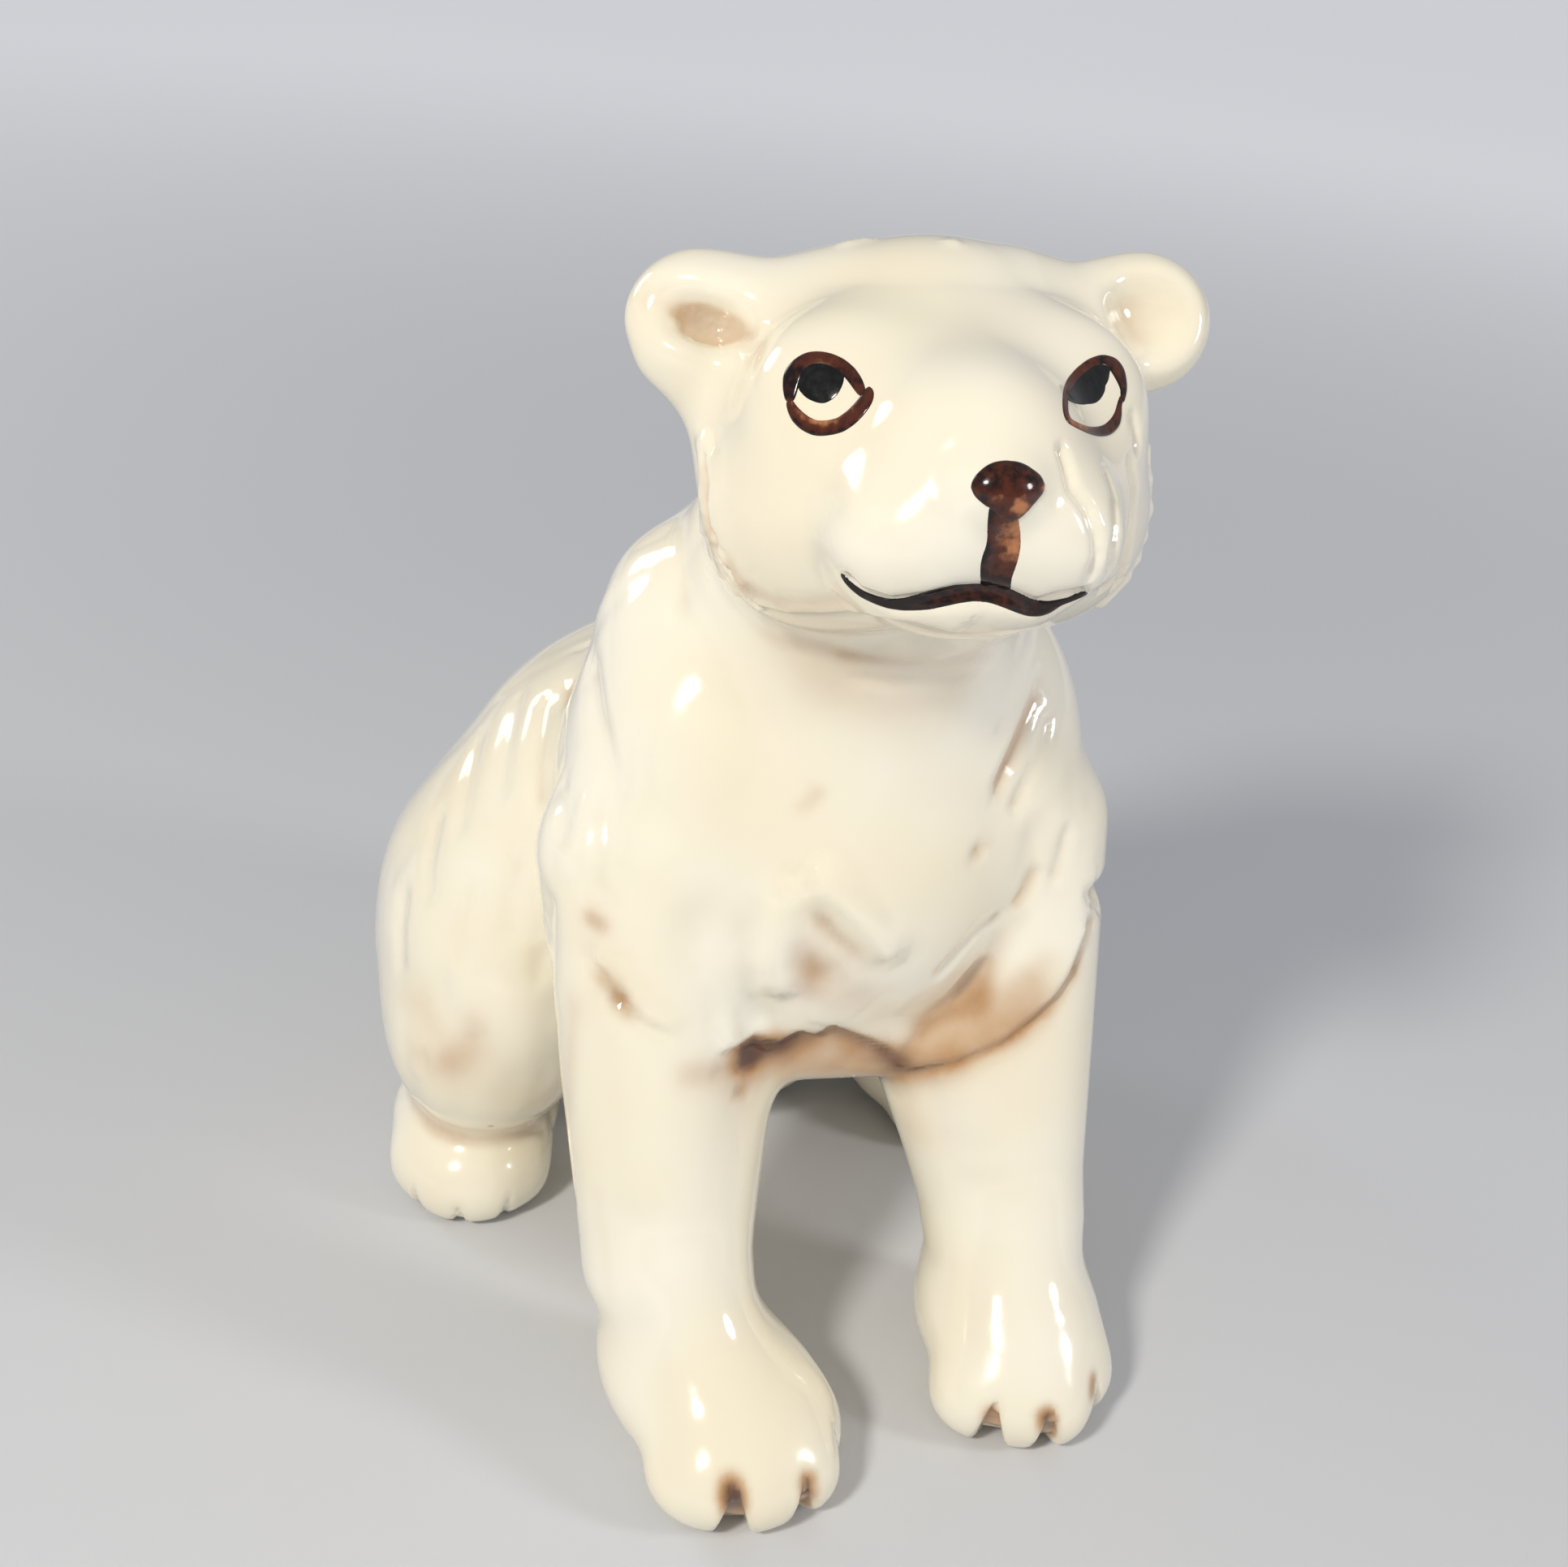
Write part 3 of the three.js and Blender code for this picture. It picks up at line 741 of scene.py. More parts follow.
@dataclass
class Clay:
    """The figurine's whole outside as one skin of clay.

    The sleeve's nick is the notch at the left elbow, under the fur of the shoulder. The skin is fine
    on the face, above one height and ahead of one depth.
    """

    head: HeadForm = field(default_factory=HeadForm)
    left_foreleg: ForelegForm = field(default_factory=ForelegForm)
    right_foreleg: ForelegForm = field(
        default_factory=lambda: ForelegForm(
            bone=Limb((18.5, -13, 54), (18.2, -24.5, 17), 10.1, 7.5),
            inner=Limb((11.6, -18, 34), (16.3, -23, 17), 5.6, 7.0),
            heel=Ball((17.3, -26.5, 8.5), (6.4, 6.5, 6.0)),
            instep=Limb((17.8, -27.0, 16.5), (15.6, -32.5, 9.5), 5.4, 5.0),
            paw=PawForm(
                (13.9, -33.5), (10.4, 12.4, 6.4), -10,
                ((44, 5.8, 1.4), (9, 4.3, 0.6), (-24, 4.1, 1.2), (-62, 4.3, 0.2)),
                ((27, 2.2), (-10, 2.0), (-46, 1.2)),
            ),
        )
    )
    trunk: TrunkForm = field(default_factory=TrunkForm)
    foreleg_soft: float = 2
    head_soft: float = 3
    sleeve_nick: Form = Melt(
        Limb((22.9, -23.2, 50.5), (26.4, -20.2, 48.9), 0.9, 1.7),
        ((Limb((26.4, -20.2, 48.9), (28.3, -16.1, 48.3), 1.7, 1.0), 1.0),),
    )
    sleeve_soft: float = 1.0
    rim_soft: float = 1.4
    voxels: tuple[float, ...] = (0.9, 0.55, 0.55)
    slope_step: float = 0.05
    least_slope: float = 0.2
    longest_move: float = 1.5
    settle_rounds: int = 3
    smooth_rounds: int = 2
    fine_above: float = 79.8
    fine_ahead: float = -2.0

    def form(self) -> Form:
        """The melted form of the whole cub.

        Returns:
            The form.
        """
        right = Within(MIRROR, self.right_foreleg.form())
        rest = (
            (self.left_foreleg.form(), self.foreleg_soft),
            (right, self.foreleg_soft),
            (self.head.form(), self.head_soft),
        )
        return PressedIn(Melt(self.trunk.form(), rest), self.sleeve_nick, self.sleeve_soft)

    def depth(self, points: Points) -> Points:
        """The form's depth, rubbed flat where it stands."""
        return -soft_lower(-self.form().depth(points), points[:, 2], self.rim_soft)

    def settle(self, points: Points, rounds: int) -> Points:
        """Moves points onto the form's surface.

        Args:
            points: The points to move.
            rounds: How many steps they take.

        Returns:
            The moved points.
        """
        for _ in range(rounds):
            here = self.depth(points)
            slope = np.empty_like(points)
            for axis in range(3):
                shifted = points.copy()
                shifted[:, axis] += self.slope_step
                slope[:, axis] = (self.depth(shifted) - here) / self.slope_step
            steepness = np.maximum((slope**2).sum(axis=1), self.least_slope)
            move = np.clip(here, -self.longest_move, self.longest_move) / steepness
            points = points - slope * move[:, None]
        return points

    def refine_face(self, skin: bpy.types.Object) -> None:
        """Divides the skin of the face once more, for its finer modelling.

        Args:
            skin: The skin.
        """
        points = read_points(skin)
        fine = (points[:, 2] > self.fine_above) & (points[:, 1] < self.fine_ahead)
        corners = gathered(skin.data.loops, "vertex_index", kind=np.int32)
        starts = gathered(skin.data.polygons, "loop_start", kind=np.int32)
        chosen = np.logical_and.reduceat(fine[corners], starts)
        pick(skin)
        bpy.ops.object.mode_set(mode="EDIT")
        bpy.ops.mesh.select_mode(type="FACE")
        bpy.ops.mesh.select_all(action="DESELECT")
        bpy.ops.object.mode_set(mode="OBJECT")
        skin.data.polygons.foreach_set("select", chosen)
        bpy.ops.object.mode_set(mode="EDIT")
        bpy.ops.mesh.subdivide(number_cuts=1, quadcorner="INNERVERT")
        bpy.ops.object.mode_set(mode="OBJECT")

    def build(self) -> bpy.types.Object:
        """Blocks the cub in, melts it and meshes it evenly.

        Returns:
            The skin of the whole cub.
        """
        deselect()
        skin = joined(self.form().block_in(Matrix.Identity(4)), "clay")
        for voxel in self.voxels:
            finished(skin, "REMESH", mode="VOXEL", voxel_size=voxel * MM)
            write_points(skin, self.settle(read_points(skin), self.settle_rounds))
        write_points(skin, spread(read_points(skin), read_edges(skin), self.smooth_rounds))
        self.refine_face(skin)
        write_points(skin, self.settle(read_points(skin), 1))
        log.info("clay: %d points", len(skin.data.vertices))
        return skin


# the viewpoint


@dataclass(frozen=True)
class Viewpoint:
    """Where the camera stands and how it is turned, with its focal length in the picture's points."""

    at: Triple = (-69.4, -170.9, 145.0)
    azimuth: float = -22
    elevation: float = 26.5
    roll: float = 5.5
    focal: float = 2537
    size: Pair = (1932, 1931)
    clip: Pair = (0.01, 10)

    def axes(self) -> Matrix:
        """The camera's right, up and back directions as a turn.

        Returns:
            The turn.
        """
        a, e = math.radians(self.azimuth), math.radians(self.elevation)
        back = Vector((math.sin(a) * math.cos(e), -math.cos(a) * math.cos(e), math.sin(e)))
        right = Vector((0, 0, 1)).cross(back).normalized()
        up = back.cross(right)
        c, s = math.cos(math.radians(self.roll)), math.sin(math.radians(self.roll))
        columns = (right * c + up * s, up * c - right * s, back)
        return Matrix([[column[row] for column in columns] for row in range(3)])

    def ray(self, u: float, v: float) -> Vector:
        """The direction in which a point of the picture lies."""
        across, down = u - self.size[0] / 2, v - self.size[1] / 2
        return (self.axes() @ Vector((across, -down, -self.focal))).normalized()

    def cast(self, u: float, v: float, surface: BVHTree) -> tuple[Vector, Vector] | None:
        """Where a point of the picture lies on a surface, and how that faces, in the row frame."""
        at, normal, _, _ = surface.ray_cast(TO_ROW @ Vector(self.at), self.ray(u, v))
        return None if at is None else (at, normal)

    def camera(self) -> None:
        """Sets the camera up in the row frame."""
        data = bpy.data.cameras.new("camera")
        data.sensor_fit = "HORIZONTAL"
        data.lens = data.sensor_width * self.focal / self.size[0]
        data.clip_start, data.clip_end = self.clip
        camera = bpy.data.objects.new("camera", data)
        camera.matrix_world = Matrix.Translation(TO_ROW @ Vector(self.at)) @ self.axes().to_4x4()
        bpy.context.scene.collection.objects.link(camera)
        bpy.context.scene.camera = camera


# modelling in the clay


@dataclass(frozen=True)
class Touch:
    """One stroke of the modelling tool, along points of the picture.

    A ridge is raised and a groove sunk along the stroke. A ledge is raised on one side of the stroke,
    as far as it takes to fade, and drops off at the stroke.
    """

    relief: Relief
    width: float
    height: float
    path: tuple[Pair, ...]
    fade: float = 3.0
    run_in: float = 2.0
    least_run_in: float = 1.2
    steepness: float = 0.35
    raised: float = 0.6
    sunk: float = 0.5

    @property
    def reach(self) -> float:
        """How far from the stroke the clay still moves."""
        return 3 * max(self.width, self.fade if self.relief is Relief.LEDGE else 0)

    @property
    def taper(self) -> float:
        """The length over which the stroke starts and ends."""
        return max(self.run_in * self.width, self.least_run_in)

    def along(self, distance: Points) -> Points:
        """A ridge's or a groove's share of the height, by the distance from the stroke."""
        shape = np.exp(-((distance / self.width) ** 2))
        return shape if self.relief is Relief.RIDGE else -shape

    def beside(self, distance: Points, side: Points) -> Points:
        """A ledge's profile.

        Args:
            distance: How far each point lies from the stroke.
            side: How far it lies to the raised side, below zero on the other.

        Returns:
            The share of the height at each point.
        """
        step = 0.5 + 0.5 * np.tanh(side / (self.steepness * self.width))
        raised = step * np.exp(-((np.maximum(side, 0) / self.fade) ** 2))
        sunk = (1 - step) * np.exp(-((side / self.width) ** 2))
        both = raised * self.raised - sunk * self.sunk
        return both * np.exp(-((distance / self.reach) ** 4) * 3)


def touches(
    relief: Relief, width: float, height: float, *paths: tuple[Pair, ...], fade: float = 3.0
) -> list[Touch]:
    """Several strokes of one kind."""
    return [Touch(relief, width, height, path, fade) for path in paths]


FACE = (
    touches(
        Relief.GROOVE, 0.9, 0.75,
        ((1030, 700), (1037, 709), (1060, 732), (1100, 744), (1140, 741), (1180, 733), (1220, 731),
         (1250, 741), (1275, 751), (1300, 742), (1341, 731), (1350, 722)),
    )
    + touches(Relief.GROOVE, 0.8, 0.35, ((1236, 645), (1236, 670), (1230, 700), (1228, 722)))
    + touches(
        Relief.LEDGE, 0.6, 0.7,
        ((915, 733), (940, 744), (975, 752), (1015, 753), (1050, 750), (1090, 758), (1130, 764),
         (1160, 772), (1188, 781)),
    )
    + touches(Relief.GROOVE, 0.9, 0.3, ((955, 738), (999, 742), (1030, 738), (1048, 730)))
    + touches(
        Relief.LEDGE, 0.5, 0.6,
        ((868, 548), (871, 575), (876, 600), (873, 625), (878, 650), (886, 664), (884, 680), (893, 697),
         (901, 700), (907, 716), (926, 734)),
        fade=1.8,
    )
    + touches(
        Relief.GROOVE, 0.6, 0.5,
        ((1304, 538), (1314, 568), (1323, 602), (1343, 629), (1353, 660), (1354, 685), (1345, 709),
         (1333, 727)),
        ((1361, 570), (1374, 610), (1377, 655), (1370, 700), (1358, 735)),
        ((1390, 555), (1399, 600), (1395, 650), (1384, 705), (1368, 740)),
        ((1392, 500), (1401, 530), (1403, 570)),
    )
    + touches(Relief.GROOVE, 3.0, 0.35, ((1040, 570), (1022, 630), (1026, 690)))
    + touches(Relief.RIDGE, 2.2, 0.4, ((1012, 483), (1020, 486)), ((1345, 484), (1352, 487)))
    + touches(Relief.RIDGE, 0.9, 0.25, ((1020, 306), (1060, 297), (1090, 296)), ((1150, 298), (1200, 300)))
)

NECK = (
    touches(
        Relief.GROOVE, 0.8, 0.22,
        ((1020, 805), (1080, 818), (1150, 822), (1235, 812)),
        ((1040, 832), (1100, 842), (1180, 842), (1215, 832)),
        ((1272, 903), (1252, 940), (1237, 967)),
        ((1240, 880), (1222, 925)),
    )
    + touches(Relief.GROOVE, 1.2, 0.6, ((1010, 970), (1000, 982), (990, 992)))
    + touches(Relief.LEDGE, 1.2, 0.35, ((1215, 1000), (1237, 940), (1262, 870), (1288, 805)))
    + touches(
        Relief.GROOVE, 1.7, 0.8,
        ((722, 790), (732, 880), (746, 940), (748, 1010), (742, 1080), (733, 1130)),
    )
    + touches(Relief.GROOVE, 1.4, 0.35, ((768, 880), (770, 940), (764, 1010)))
)

CHEST = (
    touches(Relief.RIDGE, 1.9, 1.2, ((975, 1062), (1010, 1082), (1060, 1130), (1115, 1195)))
    + touches(Relief.RIDGE, 1.7, 1.0, ((985, 1070), (968, 1120), (957, 1185), (972, 1240)))
    + touches(Relief.RIDGE, 2.4, 0.5, ((905, 1135), (912, 1190), (930, 1260)))
    + touches(Relief.GROOVE, 1.3, 0.3, ((1000, 1112), (1032, 1148), (1064, 1178), (1090, 1212)))
    + touches(Relief.RIDGE, 1.2, 0.3, ((1022, 1160), (1050, 1200), (1066, 1232)))
    + touches(Relief.GROOVE, 2.6, 0.5, ((1000, 1150), (1010, 1190), (1034, 1240)))
    + touches(
        Relief.LEDGE, 0.8, 0.9,
        ((880, 1300), (905, 1290), (927, 1276), (956, 1284), (985, 1268), (1005, 1272), (1025, 1260),
         (1058, 1274), (1090, 1288), (1112, 1304)),
    )
    + touches(
        Relief.LEDGE, 0.9, 1.1,
        ((1104, 1318), (1173, 1308), (1235, 1282), (1272, 1253), (1300, 1225), (1316, 1199),
         (1336, 1145), (1352, 1103)),
    )
    + touches(
        Relief.GROOVE, 0.8, 0.4,
        ((1218, 1037), (1203, 1052), (1188, 1066)),
        ((1240, 1120), (1203, 1150), (1172, 1185), (1144, 1214)),
        ((1222, 1175), (1192, 1205), (1165, 1245)),
        ((1285, 1060), (1262, 1100), (1240, 1130)),
        ((1320, 1010), (1308, 1060), (1290, 1105)),
        ((1285, 850), (1262, 900), (1232, 958), (1215, 985)),
        ((1296, 870), (1280, 930), (1255, 985), (1240, 1015)),
    )
    + touches(Relief.GROOVE, 1.5, 0.8, ((1330, 1150), (1342, 1125), (1354, 1104)))
    + touches(
        Relief.GROOVE, 1.1, 0.7,
        ((729, 1128), (735, 1137), (745, 1143)),
        ((725, 1206), (738, 1214)),
        ((752, 1213), (762, 1228), (778, 1256)),
    )
    + touches(
        Relief.LEDGE, 1.0, 0.55,
        ((742, 1160), (733, 1185), (750, 1200), (757, 1222), (775, 1236), (793, 1256), (820, 1270),
         (843, 1285)),
        fade=2.0,
    )
)

LEGS = (
    touches(
        Relief.GROOVE, 1.0, 0.35,
        ((868, 1326), (900, 1316), (925, 1312), (942, 1326)),
        ((895, 1352), (915, 1346), (935, 1350)),
    )
    + touches(
        Relief.GROOVE, 1.8, 0.15,
        ((1150, 1395), (1200, 1420), (1260, 1418)),
        ((1165, 1450), (1215, 1462), (1270, 1455)),
        ((735, 1480), (790, 1510), (840, 1505)),
    )
)

HAUNCH = (
    touches(
        Relief.GROOVE, 1.3, 0.4,
        ((640, 845), (622, 925), (612, 1005)),
        ((674, 850), (660, 940), (664, 1030)),
        ((702, 830), (690, 920), (692, 1010), (700, 1060)),
        ((592, 895), (572, 975), (560, 1050)),
        ((640, 1035), (628, 1110), (634, 1180)),
        ((545, 985), (528, 1060), (524, 1130)),
        ((590, 1080), (574, 1150), (570, 1210)),
        ((680, 1090), (668, 1160), (664, 1230)),
        ((500, 1080), (492, 1150), (494, 1215)),
    )
    + touches(
        Relief.GROOVE, 1.5, 0.65,
        ((578, 1268), (584, 1284), (596, 1296)),
        ((514, 1288), (524, 1304), (540, 1314)),
        ((522, 1232), (530, 1248)),
    )
)


@dataclass(frozen=True)
class StainAndShade:
    """A mark of gathering glaze and painted shade along a line of the picture: its half width and how much
    of it there is.

    A share below zero takes gathering glaze and painted shade away.
    """

    width: float
    share: float
    path: tuple[Pair, ...]


# Tan marks lie where glaze gathers in creases and where shade falls: in the ear hollows, along the ruff,
# under the jaw, in the throat, in the folds of the chest, under the left sleeve and under the haunches.
# The darkest marks are painted shadow: under the chest's lower edge, on the belly seen between the
# forelegs, and in the clefts of the forepaws.
STAINS_AND_SHADE = (
    StainAndShade(1.4, 0.25, ((795, 368), (820, 376), (842, 384))),
    StainAndShade(1.8, 0.2, ((1385, 375), (1390, 400), (1400, 425))),
    StainAndShade(1.0, 0.35, ((866, 580), (868, 612), (870, 640), (876, 655))),
    StainAndShade(1.0, 0.45, ((874, 668), (880, 690), (886, 702))),
    StainAndShade(1.0, 0.45, ((899, 695), (908, 715), (918, 732))),
    StainAndShade(1.2, 0.4, ((930, 728), (956, 741), (990, 748), (1034, 743), (1049, 737))),
    StainAndShade(1.3, 0.3, ((950, 760), (1000, 766), (1060, 768), (1110, 773), (1150, 780))),
    StainAndShade(3.0, 0.3, ((960, 790), (1040, 808), (1120, 814), (1200, 806))),
    StainAndShade(3.2, 0.2, ((1000, 850), (1060, 862), (1120, 870), (1180, 858))),
    StainAndShade(5.0, 0.14, ((1040, 840), (1100, 880), (1150, 900))),
    StainAndShade(5.5, 0.12, ((1000, 1225), (1060, 1235), (1110, 1250))),
    StainAndShade(5.0, 0.13, ((1180, 1345), (1230, 1360), (1280, 1330))),
    StainAndShade(3.5, 0.12, ((905, 1345), (885, 1390), (878, 1430))),
    StainAndShade(3.5, 0.14, ((500, 1225), (560, 1290), (640, 1310))),
    StainAndShade(3.0, 0.14, ((738, 1135), (745, 1185), (760, 1225))),
    StainAndShade(1.1, 0.4, ((1008, 978), (998, 988), (984, 998))),
    StainAndShade(2.0, 0.22, ((1275, 850), (1250, 920), (1225, 985))),
    StainAndShade(1.2, 0.3, ((1215, 1040), (1190, 1064))),
    StainAndShade(0.9, 0.6, ((728, 1130), (737, 1138), (744, 1142))),
    StainAndShade(1.1, 0.6, ((745, 1205), (758, 1217), (768, 1232), (778, 1250))),
    StainAndShade(2.4, -0.8, ((900, 1125), (908, 1180), (922, 1235), (935, 1262))),
    StainAndShade(2.2, -0.6, ((760, 940), (755, 980), (755, 1015))),
    StainAndShade(1.8, 0.3, ((986, 1165), (990, 1190), (996, 1220))),
    StainAndShade(2.6, 0.25, ((1000, 1190), (1016, 1215), (1040, 1245))),
    StainAndShade(2.2, 0.2, ((1040, 1180), (1075, 1225), (1090, 1250))),
    StainAndShade(1.0, 0.28, ((1000, 1116), (1028, 1144), (1054, 1170))),
    StainAndShade(1.2, 0.18, ((1052, 1100), (1074, 1116), (1095, 1134))),
    # Painted shadow under the chest's lower edge and on the belly seen between the forelegs.
    StainAndShade(1.7, 0.8, ((918, 1290), (950, 1283), (990, 1278), (1030, 1274), (1070, 1288), (1110, 1306))),
    StainAndShade(2.8, 0.8, ((935, 1302), (985, 1312), (1040, 1316), (1090, 1322))),
    StainAndShade(3.0, 0.25, ((1100, 1335), (1112, 1365), (1122, 1395))),
    StainAndShade(2.6, 0.22, ((860, 1330), (905, 1335), (925, 1365))),
    StainAndShade(1.6, 0.3, ((845, 1322), (885, 1318), (925, 1305))),
    StainAndShade(1.7, 0.4, ((1120, 1318), (1175, 1308), (1238, 1280), (1276, 1250), (1304, 1222), (1322, 1195))),
    StainAndShade(3.4, 0.7, ((1150, 1296), (1190, 1272), (1228, 1252), (1258, 1238))),
    StainAndShade(1.6, 0.3, ((1275, 1200), (1292, 1180))),
    StainAndShade(1.0, 0.35, ((1322, 1195), (1336, 1160), (1348, 1115))),
    StainAndShade(2.4, 0.2, ((518, 1236), (532, 1262))),
    StainAndShade(2.2, 0.35, ((586, 1262), (584, 1284), (566, 1302))),
    StainAndShade(2.0, 0.3, ((510, 1298), (528, 1312), (552, 1312))),
    StainAndShade(3.5, 0.22, ((560, 1335), (620, 1350), (690, 1355))),
    StainAndShade(1.6, 0.35, ((706, 1240), (703, 1300), (699, 1370))),
    StainAndShade(1.2, 0.2, ((736, 1470), (745, 1540), (752, 1600))),
    StainAndShade(3.4, 0.14, ((1165, 1400), (1200, 1445), (1235, 1470))),
    StainAndShade(4.0, 0.16, ((1170, 1590), (1195, 1620), (1225, 1625))),
    # Painted shadow in the clefts of the forepaws.
    StainAndShade(1.2, 0.9, ((899, 1826), (900, 1842), (901, 1856))),
    StainAndShade(0.9, 1.3, ((902, 1838), (904, 1854))),
    StainAndShade(1.1, 1.5, ((905, 1849), (905, 1867))),
    StainAndShade(1.0, 1.6, ((993, 1824), (992, 1840), (991, 1854))),
    StainAndShade(0.8, 1.0, ((993, 1840), (992, 1856))),
    StainAndShade(0.9, 1.4, ((1219, 1739), (1219, 1757))),
    StainAndShade(1.0, 1.5, ((1222, 1748), (1222, 1766))),
    StainAndShade(1.0, 1.3, ((1288, 1744), (1288, 1758), (1287, 1772))),
    StainAndShade(0.8, 1.0, ((1291, 1748), (1291, 1766))),
    StainAndShade(0.8, 1.3, ((1347, 1700), (1346, 1712), (1345, 1722))),
)


@dataclass
class Modeller:
    """Works strokes of the modelling tool into the skin, and reads where they lie on it."""

    viewpoint: Viewpoint
    skin: bpy.types.Object
    surface: BVHTree = field(init=False)
    points: Points = field(init=False)
    normals: Points = field(init=False)
    longest_gap: float = 1.6
    picture_step: float = 5
    fewest_places: int = 3
    stain_and_shade_reach: float = 2.5
    stain_and_shade_facing: float = 1.5

    def __post_init__(self) -> None:
        """Reads the skin."""
        self.read()

    def read(self) -> None:
        """Reads the skin as it now is."""
        self.surface = BVHTree.FromObject(self.skin, bpy.context.evaluated_depsgraph_get())
        self.points, self.normals = read_points(self.skin), read_normals(self.skin)

    def traced(self, path: Sequence[Pair]) -> list[tuple[Points, Points]]:
        """Runs of points along a stroke of the picture on the skin, and how it faces there.

        Args:
            path: The stroke's corners in the picture.

        Returns:
            One pair of places and facings for each run that doesn't leap across the skin.
        """
        runs, last = [([], [])], None
        for (u, v), (u2, v2) in zip(path, path[1:]):
            steps = max(2, int(math.hypot(u2 - u, v2 - v) / self.picture_step))
            for n in range(steps):
                share = n / steps
                hit = self.viewpoint.cast(u + (u2 - u) * share, v + (v2 - v) * share, self.surface)
                place = TO_ROW.inverted() @ hit[0] if hit else None
                if place is None or (last is not None and (place - last).length > self.longest_gap):
                    runs.append(([], []))
                if place is not None:
                    runs[-1][0].append(place)
                    runs[-1][1].append(hit[1])
                last = place
        kept = [run for run in runs if len(run[0]) >= self.fewest_places]
        return [(np.array(places), np.array(facing)) for places, facing in kept]

    def near(self, path: Points, reach: float) -> Points:
        """Which of the skin's points lie near a path."""
        inside = (self.points > path.min(axis=0) - reach) & (self.points < path.max(axis=0) + reach)
        return np.flatnonzero(inside.all(axis=1))

    def press(self, lift: Points, path: Points, facing: Points, touch: Touch) -> None:
        """Adds one stroke to how far each point is lifted.

        Args:
            lift: How far each of the skin's points is lifted so far.
            path: The places of the stroke on the skin.
            facing: How the skin faces at each of them.
            touch: The stroke.
        """
        near = self.near(path, touch.reach)
        gap = self.points[near, None, :] - path[None, :, :]
        distance = np.linalg.norm(gap, axis=2)
        closest = distance.argmin(axis=1)
        rows = np.arange(len(near))
        distance = distance[rows, closest]
        along = np.cumsum(np.r_[0, np.linalg.norm(np.diff(path, axis=0), axis=1)])
        ends = np.minimum(along, along[-1] - along)[closest]
        taper = np.clip(ends / touch.taper, 0, 1)
        taper = taper * taper * (3 - 2 * taper)
        facing_out = np.clip((self.normals[near] * facing[closest]).sum(axis=1), 0, 1)
        if touch.relief is Relief.LEDGE:
            tangent = np.gradient(path, axis=0)
            tangent /= np.maximum(np.linalg.norm(tangent, axis=1, keepdims=True), 1e-9)
            left = np.cross(facing, tangent)[closest]
            shape = touch.beside(distance, (gap[rows, closest] * left).sum(axis=1))
        else:
            shape = touch.along(distance)
        lift[near] += shape * touch.height * taper * facing_out

    def strokes(self, touches_made: Sequence[Touch]) -> None:
        """Works the picture's strokes into the skin.

        Args:
            touches_made: The strokes.
        """
        lift = np.zeros(len(self.points))
        for touch in touches_made:
            for path, facing in self.traced(touch.path):
                self.press(lift, path, facing, touch)
        self.lift(lift)

    def lift(self, lift: Points) -> None:
        """Moves the skin's points out along their normals.

        Args:
            lift: How far to move each point.
        """
        write_points(self.skin, self.points + self.normals * lift[:, None])
        log.info("modelling: %.2f to %.2f mm", lift.min(), lift.max())
        self.read()

    def stains_and_shade(self, marks: Sequence[StainAndShade]) -> Points:
        """How much gathering glaze and painted shade each point takes from marks in the picture.

        Args:
            marks: The marks.

        Returns:
            The gathering glaze and painted shade at each of the skin's points.
        """
        total = np.zeros(len(self.points))
        for mark in marks:
            for path, facing in self.traced(mark.path):
                near = self.near(path, self.stain_and_shade_reach * mark.width)
                distance = np.linalg.norm(self.points[near, None, :] - path[None, :, :], axis=2)
                towards = (self.normals[near] * facing[distance.argmin(axis=1)]).sum(axis=1)
                out = np.clip(towards * self.stain_and_shade_facing, 0, 1)
                total[near] += mark.share * np.exp(-((distance.min(axis=1) / mark.width) ** 2)) * out
        return total


